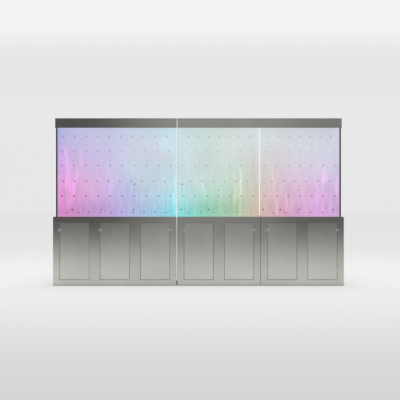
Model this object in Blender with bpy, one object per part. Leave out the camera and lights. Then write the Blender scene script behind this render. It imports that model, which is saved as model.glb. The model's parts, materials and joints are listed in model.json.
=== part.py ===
"""A freestanding bubble wall: three water tanks on three steel cabinets, under two lift-off caps.

Metres, +Z up. The front faces -Y. The origin is the middle of the footprint, on the floor.
Each bay is a cabinet with doors, a tank above it and the air, light and drain fittings below the
tank. The left bay is a unit of its own. The middle and right bays share one cap.
"""

import math
from dataclasses import dataclass

import bmesh
import bpy
from mathutils import Vector

# Driving dimensions of the cabinets
CABINET_DEPTH = 0.320
DOOR_COUNTS = {"left": 3, "middle": 2, "right": 2}
OPENING_WIDTH = 0.359
OPENING_HEIGHT = 0.689
BOTTOM_RAIL = 0.0705
TOP_RAIL = 0.0705
MIDDLE_STILE = 0.126
END_STILE = 0.078
LIT_SEAM = 0.011
DARK_SEAM = 0.004

# Driving dimensions of the tanks and caps
TANK_DEPTH = 0.100
VIEW_HEIGHT = 1.084
CAP_DEPTH = 0.130
CAP_HEIGHT = 0.118

# Shared clearances and workshop allowances
FIT = 0.0003
SINK = 0.0005
OVERRUN = 0.005

# Sheet steel
SKIN = 0.002
SIDE_WALL = 0.002
FLOOR_PLATE = 0.003
DECK_PLATE = 0.003
LIGHT_SLOT_WIDTH = 0.044
SLOT_END_INSET = 0.035
JAMB_DEPTH = 0.040
JAMB_WALL = 0.002
JAMB_STEP = 0.0005

# Vents in the back panels
VENT_WIDTH = 0.090
VENT_HEIGHT = 0.005
VENT_PITCH = 0.016
VENT_ROWS = 5
VENT_DROP = 0.090
VENT_SIDE_INSET = 0.160

# Doors
DOOR_GAP = 0.004
DOOR_DEPTH = 0.016
DOOR_FOLD = 0.002
DOOR_EDGE_RADIUS = 0.0015
STRIKE_SIZE = 0.022

# Hinges, screwed to the front faces
HINGE_SIDES = {"left": (-1, -1, 1), "middle": (-1, 1), "right": (-1, 1)}
HINGE_HEIGHT = 0.028
HINGE_TOP_INSET = 0.088
HINGE_BOTTOM_INSET = 0.107
LEAF_WIDTH = 0.020
LEAF_PLATE = 0.0015
KNUCKLE_RADIUS = 0.003
KNUCKLE_GAP = 0.0004
PIN_RADIUS = 0.0013
PIN_CLEARANCE = 0.0004

# Push latches
LATCH_INSET = 0.030
LATCH_TRAVEL = 0.003
SLEEVE_RADIUS = 0.009
SLEEVE_LENGTH = 0.030
PLUNGER_RADIUS = 0.005
PLUNGER_HEAD_RADIUS = 0.0075
PLUNGER_HEAD_PLATE = 0.003
PLUNGER_TAIL = 0.008
BRACKET_PLATE = 0.003
BRACKET_HEIGHT = 0.030
BRACKET_SETBACK = 0.010

# Tanks
SHEET = 0.010
END_BAR = 0.008
BOTTOM_BAR = 0.020
TANK_IN_CAP = 0.070
BRACE_RADIUS = 0.0075
BRACE_ROOT = 0.002

# Rows of bracing pins: height as a share of the view height, then for each bay the number of
# pins and the places of the first and last, as shares of the width between the end bars
BRACE_ROW_SHARES = (
    (0.904, {"left": (10, 0.054, 0.921), "middle": (7, 0.128, 0.888), "right": (7, 0.089, 0.888)}),
    (0.737, {"left": (10, 0.045, 0.942), "middle": (7, 0.073, 0.918), "right": (7, 0.072, 0.927)}),
    (0.578, {"left": (10, 0.040, 0.954), "middle": (7, 0.065, 0.930), "right": (7, 0.062, 0.933)}),
    (0.400, {"left": (10, 0.054, 0.906), "middle": (6, 0.150, 0.858), "right": (6, 0.145, 0.874)}),
    (0.231, {"left": (10, 0.040, 0.954), "middle": (7, 0.065, 0.930), "right": (7, 0.062, 0.933)}),
    (0.045, {"left": (10, 0.080, 0.916), "middle": (6, 0.131, 0.894), "right": (5, 0.160, 0.788)}),
)

# Side posts and the lit divider between the two units
POST_INSET = 0.007
POST_WIDTH = 0.018
POST_WALL = 0.0015
DIVIDER_CLEARANCE = 0.0005
DIVIDER_SETBACK = 0.003
DIVIDER_FOOT_HEIGHT = 0.058
DIVIDER_FOOT_SETBACK = 0.050

# Caps
CAP_WALL = 0.002
CAP_EDGE_RADIUS = 0.003
CAP_WEB = 0.003
CAP_WEB_INSET = 0.120
CAP_WEB_SPACING = 0.900

# Air fittings inside the tanks
BUBBLE_BAR_RADIUS = 0.006
BUBBLE_BAR_END_GAP = 0.010
NOZZLE_RADIUS = 0.0022
NOZZLE_HEIGHT = 0.003
NOZZLE_SPACING = 0.095
NOZZLE_END_INSET = 0.040
STEM_RADIUS = 0.005
STEM_INSET = 0.065
STEM_DROP = 0.060

# Light bars under the tanks
LENS_WIDTH = 0.024
LENS_DROP = 0.0005
LIGHT_FLANGE_WIDTH = 0.068
LIGHT_FLANGE_PLATE = 0.002
LIGHT_BODY_WIDTH = 0.028
LIGHT_BODY_HEIGHT = 0.018
LIGHT_END_GAP = 0.022

# Drain valves
DRAIN_INSET = 0.065
DRAIN_PIPE_RADIUS = 0.009
DRAIN_NUT_RADIUS = 0.016
DRAIN_NUT_HEIGHT = 0.010
VALVE_DROP = 0.070
VALVE_SIDE = 0.036
VALVE_HEIGHT = 0.045
OUTLET_LENGTH = 0.050
OUTLET_RADIUS = 0.007
BARB_RADIUS = 0.0085
BARB_LENGTH = 0.010
VALVE_BOSS_RADIUS = 0.007
VALVE_BOSS_LENGTH = 0.009
SPINDLE_RADIUS = 0.003
LEVER_LENGTH = 0.075
LEVER_WIDTH = 0.012
LEVER_PLATE = 0.004
LEVER_HUB_RADIUS = 0.010

# Air pumps on the cabinet floors
PUMP_LENGTH = 0.170
PUMP_DEPTH = 0.100
PUMP_HEIGHT = 0.080
PUMP_EDGE_RADIUS = 0.008
PUMP_BACK_OFFSET = 0.030
PUMP_STEM_OFFSET = 0.170
PUMP_FOOT_RADIUS = 0.009
PUMP_FOOT_HEIGHT = 0.010
PUMP_FOOT_INSET = 0.018
PUMP_FIN_COUNT = 7
PUMP_FIN_PLATE = 0.004
PUMP_FIN_HEIGHT = 0.007
PUMP_FIN_SPACING = 0.014
SPIGOT_RADIUS = 0.005
SPIGOT_COLLAR_RADIUS = 0.009
SPIGOT_COLLAR_HEIGHT = 0.006
SPIGOT_HEIGHT = 0.022
SPIGOT_INSET = 0.018
KNOB_BOSS_RADIUS = 0.006
KNOB_BOSS_LENGTH = 0.004
KNOB_RADIUS = 0.014
KNOB_LOBE = 0.0012
KNOB_LENGTH = 0.016
KNOB_LOBES = 8
KNOB_INSET = 0.035
KNOB_BORE_DEPTH = 0.010
HOSE_RADIUS = 0.006
HOSE_POINTS = 22
HOSE_PULL_SHARE = 0.42

# Power unit behind the left cabinet's back panel
POWER_WIDTH = 0.200
POWER_HEIGHT = 0.130
POWER_DEPTH = 0.060
POWER_EDGE_RADIUS = 0.003
POWER_INSET = 0.420
POWER_CENTRE_HEIGHT = 0.330
FACEPLATE_WIDTH = 0.072
FACEPLATE_HEIGHT = 0.034
INLET_WIDTH = 0.025
INLET_HEIGHT = 0.018
INLET_DEPTH = 0.016
INLET_OFFSET = 0.016
BLADE_WIDTH = 0.002
BLADE_HEIGHT = 0.005
BLADE_LENGTH = 0.012
BLADE_SPACING = 0.007
ROCKER_RECESS_WIDTH = 0.014
ROCKER_RECESS_HEIGHT = 0.022
ROCKER_RECESS_DEPTH = 0.011
ROCKER_LENGTH = 0.019
ROCKER_END_RISE = 0.0022
ROCKER_MIDDLE_RISE = 0.0006
ROCKER_THICKNESS = 0.005
ROCKER_REST_ANGLE = math.radians(-8)

# Facets of round shapes
PIN_SIDES = 6
SMALL_SIDES = 8
ROUND_SIDES = 12
BEND_SEGMENTS = 2
ROUND_PROFILE_SHARE = 0.5

# Levels that several pieces share
FRONT = -CABINET_DEPTH / 2
BACK = CABINET_DEPTH / 2
OPENING_TOP = BOTTOM_RAIL + OPENING_HEIGHT
CABINET_HEIGHT = OPENING_TOP + TOP_RAIL
DOOR_REAR = FRONT + DOOR_DEPTH
TANK_FLOOR = CABINET_HEIGHT + FIT
CAP_BOTTOM = CABINET_HEIGHT + VIEW_HEIGHT
CAP_TOP = CAP_BOTTOM + CAP_HEIGHT
TANK_TOP = CAP_BOTTOM + TANK_IN_CAP
TANK_HALF = TANK_DEPTH / 2
WATER_HALF = TANK_HALF - SHEET
WATER_FLOOR = TANK_FLOOR + BOTTOM_BAR
DECK_UNDERSIDE = CABINET_HEIGHT - DECK_PLATE
STEM_BOTTOM = CABINET_HEIGHT - STEM_DROP
PUMP_UNDERSIDE = FLOOR_PLATE + FIT + PUMP_FOOT_HEIGHT
PUMP_TOP = PUMP_UNDERSIDE + PUMP_HEIGHT
PUMP_FRONT = PUMP_BACK_OFFSET - PUMP_DEPTH / 2


@dataclass(frozen=True)
class Bay:
    """One cabinet and the tank above it."""

    name: str
    doors: int
    left: float
    right: float
    tank_left: float
    tank_right: float

    def opening(self, index):
        """Left and right edge of a door opening."""
        start = self.left + END_STILE + index * (OPENING_WIDTH + MIDDLE_STILE)
        return start, start + OPENING_WIDTH

    @property
    def stem_x(self):
        """Where the air stem comes down through the tank's bottom bar."""
        return self.tank_right - STEM_INSET

    @property
    def drain_x(self):
        """Where the drain pipe comes down through the tank's bottom bar."""
        return self.tank_left + DRAIN_INSET

    @property
    def pump_x(self):
        """Middle of the air pump."""
        return self.stem_x - PUMP_STEM_OFFSET


def bay_width(doors):
    """Width of a cabinet with this many doors."""
    return 2 * END_STILE + doors * OPENING_WIDTH + (doors - 1) * MIDDLE_STILE


def lay_out_bays():
    """The three bays, side by side and centred on the origin."""
    widths = [bay_width(doors) for doors in DOOR_COUNTS.values()]
    half = (sum(widths) + LIT_SEAM + DARK_SEAM) / 2
    ends = [-half + widths[0]]
    ends.append(ends[0] + LIT_SEAM + widths[1])
    ends.append(half)
    starts = [-half, ends[0] + LIT_SEAM, ends[1] + DARK_SEAM]
    end_inset = POST_INSET + POST_WALL + FIT
    insets = ((end_inset, FIT), (FIT, FIT), (FIT, end_inset))
    return tuple(
        Bay(name, DOOR_COUNTS[name], start, end, start + near, end - far)
        for name, start, end, (near, far) in zip(DOOR_COUNTS, starts, ends, insets)
    )


def make_finishes():
    """Every material of the wall, by name."""
    finishes = {}
    for name, colour, roughness, metallic in (
        ("brushed_stainless", (0.56, 0.56, 0.53), 0.34, 1.0),
        ("dark_stainless", (0.20, 0.20, 0.19), 0.38, 1.0),
        ("clear_acrylic", (0.86, 0.93, 0.96), 0.05, 0.0),
        ("diffusing_acrylic", (0.80, 0.76, 0.88), 0.35, 0.0),
        ("edge_lit_acrylic", (0.95, 0.97, 0.97), 0.30, 0.0),
        ("opal_acrylic", (0.97, 0.97, 0.96), 0.40, 0.0),
        ("air_line_nylon", (0.80, 0.82, 0.84), 0.40, 0.0),
        ("light_bar_aluminium", (0.77, 0.78, 0.79), 0.35, 1.0),
        ("pump_casting", (0.22, 0.24, 0.26), 0.45, 1.0),
        ("black_knob_plastic", (0.03, 0.03, 0.03), 0.50, 0.0),
        ("silicone_hose", (0.75, 0.77, 0.78), 0.45, 0.0),
        ("nickel_brass", (0.66, 0.62, 0.54), 0.28, 1.0),
        ("red_lever_grip", (0.55, 0.04, 0.03), 0.50, 0.0),
        ("power_unit_plastic", (0.06, 0.06, 0.07), 0.50, 0.0),
        ("steel_plunger", (0.60, 0.60, 0.60), 0.30, 1.0),
    ):
        made = bpy.data.materials.new(name)
        made.use_nodes = True
        shader = made.node_tree.nodes["Principled BSDF"]
        shader.inputs["Base Color"].default_value = (*colour, 1.0)
        shader.inputs["Roughness"].default_value = roughness
        shader.inputs["Metallic"].default_value = metallic
        finishes[name] = made
    return finishes


class Shape:
    """A mesh made of closed boxes, prisms, square tubes and turned bodies, in world coordinates."""

    def __init__(self):
        self.mesh = bmesh.new()

    def box(self, low, high, edge_radius=0.0, segments=1):
        """A box between two corners, with its edges rounded where a radius is given."""
        made = bmesh.ops.create_cube(self.mesh, size=1.0)["verts"]
        low, high = Vector(low), Vector(high)
        for vertex in made:
            vertex.co = (low + high) / 2 + vertex.co * (high - low)
        if edge_radius:
            edges = {edge for vertex in made for edge in vertex.link_edges}
            bmesh.ops.bevel(
                self.mesh,
                geom=list(edges),
                offset=edge_radius,
                segments=segments,
                profile=ROUND_PROFILE_SHARE,
                affect="EDGES",
            )
        return self

    def prism(self, outline, axis, start, end):
        """A flat outline drawn out along an axis. Its points are (y, z), (x, z) or (x, y)."""
        others = [i for i in range(3) if i != axis]
        rings = []
        for along in (start, end):
            ring = []
            for first, second in outline:
                place = Vector((0, 0, 0))
                place[axis] = along
                place[others[0]] = first
                place[others[1]] = second
                ring.append(self.mesh.verts.new(place))
            rings.append(ring)
        self.mesh.faces.new(rings[0])
        self.mesh.faces.new(list(reversed(rings[1])))
        self.bridge(*rings)
        return self

    def square_tube(self, low, high, wall_x, floor, roof):
        """A rectangular tube along Y, with its own thickness for sides, floor and roof."""
        outer = ((low[0], low[2]), (high[0], low[2]), (high[0], high[2]), (low[0], high[2]))
        inner_low = (low[0] + wall_x, low[2] + floor)
        inner_high = (high[0] - wall_x, high[2] - roof)
        inner = (inner_low, (inner_high[0], inner_low[1]), inner_high, (inner_low[0], inner_high[1]))
        rings = [
            [self.mesh.verts.new((x, y, z)) for x, z in outline]
            for outline, y in ((outer, low[1]), (outer, high[1]), (inner, high[1]), (inner, low[1]))
        ]
        for ring, following in zip(rings, rings[1:] + rings[:1]):
            self.bridge(ring, following)
        return self

    def turned(self, profile, centre, axis, sides=ROUND_SIDES):
        """A body turned about an axis, from a profile of (radius, distance along the axis)."""
        others = [i for i in range(3) if i != axis]
        rings = []
        for radius, along in profile:
            ring = []
            for step in range(sides if radius else 1):
                angle = 2 * math.pi * (step + 0.5) / sides
                place = Vector(centre)
                place[axis] = along
                place[others[0]] += radius * math.cos(angle)
                place[others[1]] += radius * math.sin(angle)
                ring.append(self.mesh.verts.new(place))
            rings.append(ring)
        for ring, following in zip(rings, rings[1:]):
            self.bridge(ring, following)
        return self

    def rod(self, centre, axis, start, end, radius, sides=ROUND_SIDES):
        """A plain round rod along an axis."""
        profile = ((0, start), (radius, start), (radius, end), (0, end))
        return self.turned(profile, centre, axis, sides)

    def bridge(self, ring, following):
        """Joins two rings of points, one of which may be a single pole."""
        count = max(len(ring), len(following))
        for i in range(count):
            corners = [
                ring[i % len(ring)],
                ring[(i + 1) % len(ring)],
                following[(i + 1) % len(following)],
                following[i % len(following)],
            ]
            self.mesh.faces.new(list(dict.fromkeys(corners)))

    def to_object(self, name, origin):
        """The finished mesh as an object whose origin lies at the point given."""
        bmesh.ops.recalc_face_normals(self.mesh, faces=self.mesh.faces)
        bmesh.ops.translate(self.mesh, verts=self.mesh.verts, vec=-Vector(origin))
        data = bpy.data.meshes.new(name)
        self.mesh.to_mesh(data)
        self.mesh.free()
        data.shade_smooth()
        data.set_sharp_from_angle(angle=math.radians(32))
        made = bpy.data.objects.new(name, data)
        bpy.context.scene.collection.objects.link(made)
        return made


def make_part(name, shape, finish, origin=(0, 0, 0)):
    """One piece of the wall, with its origin at a joint's axis where it moves."""
    made = shape.to_object(name, origin)
    made.location = origin
    made.data.materials.append(finish)
    return made


def combine(part, shape, operation):
    """Joins a shape to a part or cuts it away, as a Boolean with a hidden helper."""
    helper = shape.to_object(f"{part.name}_helper_{len(part.modifiers)}", part.location)
    helper.parent = part
    helper.hide_render = True
    helper.display_type = "WIRE"
    modifier = part.modifiers.new(operation.title(), "BOOLEAN")
    modifier.operation = operation
    modifier.solver = "EXACT"
    modifier.use_self = operation == "UNION"
    modifier.object = helper


def weld(part, shape):
    """Adds a shape that reaches into the part."""
    combine(part, shape, "UNION")


def cut(part, shape):
    """Takes a shape away from the part."""
    combine(part, shape, "DIFFERENCE")


def even_shading():
    """Keeps flat faces flat in a render where a Boolean has cut or joined them."""
    for made in bpy.context.scene.collection.objects:
        if made.modifiers:
            made.modifiers.new("Weighted normals", "WEIGHTED_NORMAL").keep_sharp = True


def hinge_levels():
    """Bottom of each of a door's two hinges."""
    upper = OPENING_TOP - HINGE_TOP_INSET - HINGE_HEIGHT / 2
    lower = BOTTOM_RAIL + HINGE_BOTTOM_INSET - HINGE_HEIGHT / 2
    return lower, upper


def hinge_axis(opening, side):
    """X and Y of the hinge line: over the gap, just in front of the faces."""
    edge = opening[0] if side < 0 else opening[1]
    return edge - side * DOOR_GAP / 2, FRONT - FIT - KNUCKLE_RADIUS


def add_hinge_half(shape, opening, side, towards, middle):
    """One half of both hinges: its leaf, the knuckles on it and, on the fixed half, the pin.

    towards is the X direction in which the leaf lies, and middle is True for the half that
    carries the middle knuckle.
    """
    x, y = hinge_axis(opening, side)
    knuckle = (HINGE_HEIGHT - 2 * KNUCKLE_GAP) / 3
    near = x + towards * (KNUCKLE_RADIUS + SINK)
    far = x + towards * LEAF_WIDTH
    for level in hinge_levels():
        shape.box(
            (min(near, far), FRONT - LEAF_PLATE, level),
            (max(near, far), FRONT + SINK, level + HINGE_HEIGHT),
        )
        starts = [level, level + 2 * (knuckle + KNUCKLE_GAP)]
        if middle:
            starts = [level + knuckle + KNUCKLE_GAP]
        for start in starts:
            inside = near + towards * SINK
            shape.box(
                (min(x, inside), FRONT - LEAF_PLATE, start),
                (max(x, inside), FRONT - FIT, start + knuckle),
            )
            shape.rod((x, y, 0), 2, start, start + knuckle, KNUCKLE_RADIUS, SMALL_SIDES)
        if not middle:
            pin_end = level + HINGE_HEIGHT - SINK
            shape.rod((x, y, 0), 2, level + SINK, pin_end, PIN_RADIUS, PIN_SIDES)


def latch_place(opening, side):
    """X and Z of a door's push latch, near its free edge at half height."""
    free_edge = opening[1] if side < 0 else opening[0]
    return free_edge + side * LATCH_INSET, BOTTOM_RAIL + OPENING_HEIGHT / 2


def sleeve_front():
    """Y of the front end of the latch sleeves."""
    return DOOR_REAR + 2 * FIT + PLUNGER_HEAD_PLATE + LATCH_TRAVEL


def make_cabinet(bay, finish):
    """The welded carcass: floor, two sides and the deck that carries the tank."""
    low = (bay.left, FRONT + SKIN + FIT, 0)
    high = (bay.right, BACK - SKIN - FIT, CABINET_HEIGHT)
    shell = Shape().square_tube(low, high, SIDE_WALL, FLOOR_PLATE, DECK_PLATE)
    carcass = make_part(f"cabinet_{bay.name}", shell, finish)
    slot = Shape().box(
        (bay.left + SLOT_END_INSET, -LIGHT_SLOT_WIDTH / 2, DECK_UNDERSIDE - OVERRUN),
        (bay.right - SLOT_END_INSET, LIGHT_SLOT_WIDTH / 2, CABINET_HEIGHT + OVERRUN),
    )
    cut(carcass, slot)


def make_fascia(bay, finish):
    """The front sheet, with folded jambs, the fixed hinge halves and the latch brackets."""
    sheet = Shape().box((bay.left, FRONT, 0), (bay.right, FRONT + SKIN, CABINET_HEIGHT))
    fascia = make_part(f"fascia_{bay.name}", sheet, finish)
    openings = Shape()
    fittings = Shape()
    bores = Shape()
    for index, side in enumerate(HINGE_SIDES[bay.name]):
        left, right = bay.opening(index)
        openings.box((left, FRONT - OVERRUN, BOTTOM_RAIL), (right, FRONT + SKIN + OVERRUN, OPENING_TOP))
        reach = JAMB_STEP + JAMB_WALL
        fittings.square_tube(
            (left - reach, FRONT + SKIN / 2, BOTTOM_RAIL - reach),
            (right + reach, FRONT + JAMB_DEPTH, OPENING_TOP + reach),
            JAMB_WALL,
            JAMB_WALL,
            JAMB_WALL,
        )
        add_hinge_half(fittings, (left, right), side, side, middle=False)
        x, z = latch_place((left, right), side)
        jamb = (right if side < 0 else left) - side * (JAMB_STEP + JAMB_WALL / 2)
        start = sleeve_front()
        fittings.box(
            (min(x, jamb), start + BRACKET_SETBACK, z - BRACKET_HEIGHT / 2),
            (max(x, jamb), start + BRACKET_SETBACK + BRACKET_PLATE, z + BRACKET_HEIGHT / 2),
        )
        fittings.rod((x, 0, z), 1, start, start + SLEEVE_LENGTH, SLEEVE_RADIUS)
        bores.rod((x, 0, z), 1, start - OVERRUN, start + SLEEVE_LENGTH + OVERRUN, PLUNGER_RADIUS + FIT)
    cut(fascia, openings)
    weld(fascia, fittings)
    cut(fascia, bores)


def make_back_panel(bay, finish, window):
    """The vented back sheet. window is the power unit's cut-out, as (x, z, width, height), or None."""
    sheet = Shape().box((bay.left, BACK - SKIN, 0), (bay.right, BACK, CABINET_HEIGHT))
    panel = make_part(f"back_panel_{bay.name}", sheet, finish)
    holes = Shape()
    for side_x in (bay.left + VENT_SIDE_INSET, bay.right - VENT_SIDE_INSET):
        for row in range(VENT_ROWS):
            top = CABINET_HEIGHT - VENT_DROP - row * VENT_PITCH
            holes.box(
                (side_x - VENT_WIDTH / 2, BACK - SKIN - OVERRUN, top - VENT_HEIGHT),
                (side_x + VENT_WIDTH / 2, BACK + OVERRUN, top),
            )
    if window:
        x, z, width, height = window
        holes.box(
            (x - width / 2 - FIT, BACK - SKIN - OVERRUN, z - height / 2 - FIT),
            (x + width / 2 + FIT, BACK + OVERRUN, z + height / 2 + FIT),
        )
    cut(panel, holes)


def make_door(number, opening, side, finish):
    """A flush door: a folded steel pan with its hinge halves and the latch's strike block."""
    left, right = opening[0] + DOOR_GAP, opening[1] - DOOR_GAP
    bottom, top = BOTTOM_RAIL + DOOR_GAP, OPENING_TOP - DOOR_GAP
    pan = Shape().box((left, FRONT, bottom), (right, DOOR_REAR, top), DOOR_EDGE_RADIUS)
    door = make_part(f"door_{number}", pan, finish, (*hinge_axis(opening, side), 0))
    hollow = Shape().box(
        (left + DOOR_FOLD, FRONT + SKIN, bottom + DOOR_FOLD),
        (right - DOOR_FOLD, DOOR_REAR + OVERRUN, top - DOOR_FOLD),
    )
    cut(door, hollow)
    x, z = latch_place(opening, side)
    fittings = Shape().box(
        (x - STRIKE_SIZE / 2, FRONT + SKIN - SINK, z - STRIKE_SIZE / 2),
        (x + STRIKE_SIZE / 2, DOOR_REAR, z + STRIKE_SIZE / 2),
    )
    add_hinge_half(fittings, opening, side, -side, middle=True)
    weld(door, fittings)
    bores = Shape()
    axis_x, axis_y = hinge_axis(opening, side)
    for level in hinge_levels():
        bores.rod(
            (axis_x, axis_y, 0),
            2,
            level,
            level + HINGE_HEIGHT,
            PIN_RADIUS + PIN_CLEARANCE,
            SMALL_SIDES,
        )
    cut(door, bores)


def make_plunger(number, opening, side, finish):
    """The sprung pin of a push latch, with its head just behind the door's strike block."""
    x, z = latch_place(opening, side)
    tip = DOOR_REAR + FIT
    head = tip + PLUNGER_HEAD_PLATE
    tail = sleeve_front() + SLEEVE_LENGTH + PLUNGER_TAIL
    profile = (
        (0, tip),
        (PLUNGER_HEAD_RADIUS, tip),
        (PLUNGER_HEAD_RADIUS, head),
        (PLUNGER_RADIUS, head),
        (PLUNGER_RADIUS, tail),
        (0, tail),
    )
    pin = Shape().turned(profile, (x, 0, z), 1)
    make_part(f"latch_plunger_{number}", pin, finish, (x, tip, z))


def make_tank(bay, finishes):
    """Front sheet, back sheet with its bracing pins, and the frame of bars between them."""
    left, right = bay.tank_left, bay.tank_right
    front = Shape().box((left, -TANK_HALF, TANK_FLOOR), (right, -WATER_HALF, TANK_TOP))
    make_part(f"tank_front_{bay.name}", front, finishes["clear_acrylic"])
    back = Shape().box((left, WATER_HALF, TANK_FLOOR), (right, TANK_HALF, TANK_TOP))
    back_sheet = make_part(f"tank_back_{bay.name}", back, finishes["diffusing_acrylic"])
    pins = Shape()
    clear_left, clear_width = left + END_BAR, right - left - 2 * END_BAR
    for height_share, rows in BRACE_ROW_SHARES:
        count, first_share, last_share = rows[bay.name]
        for i in range(count):
            share = first_share + (last_share - first_share) * i / (count - 1)
            centre = (clear_left + share * clear_width, 0, CABINET_HEIGHT + height_share * VIEW_HEIGHT)
            pins.rod(centre, 1, -WATER_HALF + FIT, WATER_HALF + BRACE_ROOT, BRACE_RADIUS, PIN_SIDES)
    weld(back_sheet, pins)

    inner_left, inner_right = left + END_BAR, right - END_BAR
    outline = (
        (left, TANK_FLOOR),
        (right, TANK_FLOOR),
        (right, TANK_TOP),
        (inner_right, TANK_TOP),
        (inner_right, WATER_FLOOR),
        (inner_left, WATER_FLOOR),
        (inner_left, TANK_TOP),
        (left, TANK_TOP),
    )
    bars = Shape().prism(outline, 1, -WATER_HALF + FIT, WATER_HALF - FIT)
    frame = make_part(f"tank_frame_{bay.name}", bars, finishes["edge_lit_acrylic"])
    holes = Shape()
    for x, radius in ((bay.stem_x, STEM_RADIUS), (bay.drain_x, DRAIN_PIPE_RADIUS)):
        holes.rod((x, 0, 0), 2, TANK_FLOOR - OVERRUN, WATER_FLOOR + OVERRUN, radius + FIT)
    cut(frame, holes)


def make_bubble_bar(bay, finish):
    """The air tube along the tank's floor, with its nozzles and the stem that feeds it."""
    level = WATER_FLOOR + FIT + BUBBLE_BAR_RADIUS
    start = bay.tank_left + END_BAR + BUBBLE_BAR_END_GAP
    end = bay.tank_right - END_BAR - BUBBLE_BAR_END_GAP
    tube = Shape().rod((0, 0, level), 0, start, end, BUBBLE_BAR_RADIUS, SMALL_SIDES)
    bar = make_part(f"bubble_bar_{bay.name}", tube, finish)
    fittings = Shape()
    run = end - start - 2 * NOZZLE_END_INSET
    count = 1 + round(run / NOZZLE_SPACING)
    for i in range(count):
        x = start + NOZZLE_END_INSET + run * i / (count - 1)
        top = level + BUBBLE_BAR_RADIUS + NOZZLE_HEIGHT
        fittings.rod((x, 0, 0), 2, level, top, NOZZLE_RADIUS, PIN_SIDES)
    fittings.rod((bay.stem_x, 0, 0), 2, STEM_BOTTOM, level, STEM_RADIUS)
    weld(bar, fittings)


def make_light_bar(bay, finish):
    """The lamp rail that hangs in the deck's slot and shines up through the tank's bottom bar."""
    flange_top = DECK_UNDERSIDE - FIT
    flange_bottom = flange_top - LIGHT_FLANGE_PLATE
    body_bottom = flange_top - LIGHT_BODY_HEIGHT
    lens_top = CABINET_HEIGHT - LENS_DROP
    half = (
        (LIGHT_BODY_WIDTH / 2, body_bottom),
        (LIGHT_BODY_WIDTH / 2, flange_bottom),
        (LIGHT_FLANGE_WIDTH / 2, flange_bottom),
        (LIGHT_FLANGE_WIDTH / 2, flange_top),
        (LENS_WIDTH / 2, flange_top),
        (LENS_WIDTH / 2, lens_top),
    )
    outline = [*half, *((-y, z) for y, z in reversed(half))]
    start = bay.drain_x + DRAIN_NUT_RADIUS + LIGHT_END_GAP
    rail = Shape().prism(outline, 0, start, bay.stem_x - LIGHT_END_GAP)
    make_part(f"light_bar_{bay.name}", rail, finish)


def make_drain(bay, finishes):
    """The drain: pipe, nut, ball valve and hose barb, and the lever that turns a quarter."""
    valve_top = CABINET_HEIGHT - VALVE_DROP
    valve_bottom = valve_top - VALVE_HEIGHT
    outlet_end = valve_bottom - OUTLET_LENGTH
    barb_top = outlet_end + BARB_LENGTH
    profile = (
        (0, WATER_FLOOR),
        (DRAIN_PIPE_RADIUS, WATER_FLOOR),
        (DRAIN_PIPE_RADIUS, CABINET_HEIGHT),
        (DRAIN_NUT_RADIUS, CABINET_HEIGHT),
        (DRAIN_NUT_RADIUS, CABINET_HEIGHT - DRAIN_NUT_HEIGHT),
        (DRAIN_PIPE_RADIUS, CABINET_HEIGHT - DRAIN_NUT_HEIGHT),
        (DRAIN_PIPE_RADIUS, valve_bottom),
        (OUTLET_RADIUS, valve_bottom),
        (OUTLET_RADIUS, barb_top),
        (BARB_RADIUS, barb_top),
        (OUTLET_RADIUS, outlet_end),
        (0, outlet_end),
    )
    x = bay.drain_x
    pipe = Shape().turned(profile, (x, 0, 0), 2)
    drain = make_part(f"drain_valve_{bay.name}", pipe, finishes["nickel_brass"])
    half = VALVE_SIDE / 2
    boss_front = -half - VALVE_BOSS_LENGTH
    level = (valve_top + valve_bottom) / 2
    body = Shape().box((x - half, -half, valve_bottom + SINK), (x + half, half, valve_top))
    body.rod((x, 0, level), 1, boss_front, -half + OVERRUN, VALVE_BOSS_RADIUS)
    lever_back = boss_front - FIT
    body.rod((x, 0, level), 1, lever_back - LEVER_PLATE, boss_front + SINK, SPINDLE_RADIUS, SMALL_SIDES)
    weld(drain, body)

    hub = Shape().rod((x, 0, level), 1, lever_back - LEVER_PLATE, lever_back, LEVER_HUB_RADIUS)
    lever = make_part(f"drain_lever_{bay.name}", hub, finishes["red_lever_grip"], (x, lever_back, level))
    arm = Shape().box(
        (x, lever_back - LEVER_PLATE + SINK, level - LEVER_WIDTH / 2),
        (x + LEVER_LENGTH, lever_back - SINK, level + LEVER_WIDTH / 2),
    )
    weld(lever, arm)
    bore = Shape().rod(
        (x, 0, level),
        1,
        lever_back - LEVER_PLATE - OVERRUN,
        lever_back + OVERRUN,
        SPINDLE_RADIUS + PIN_CLEARANCE,
        SMALL_SIDES,
    )
    cut(lever, bore)


def spigot_place(bay):
    """X and Y of the pump's outlet."""
    return bay.pump_x + PUMP_LENGTH / 2 - SPIGOT_INSET, PUMP_BACK_OFFSET


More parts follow.
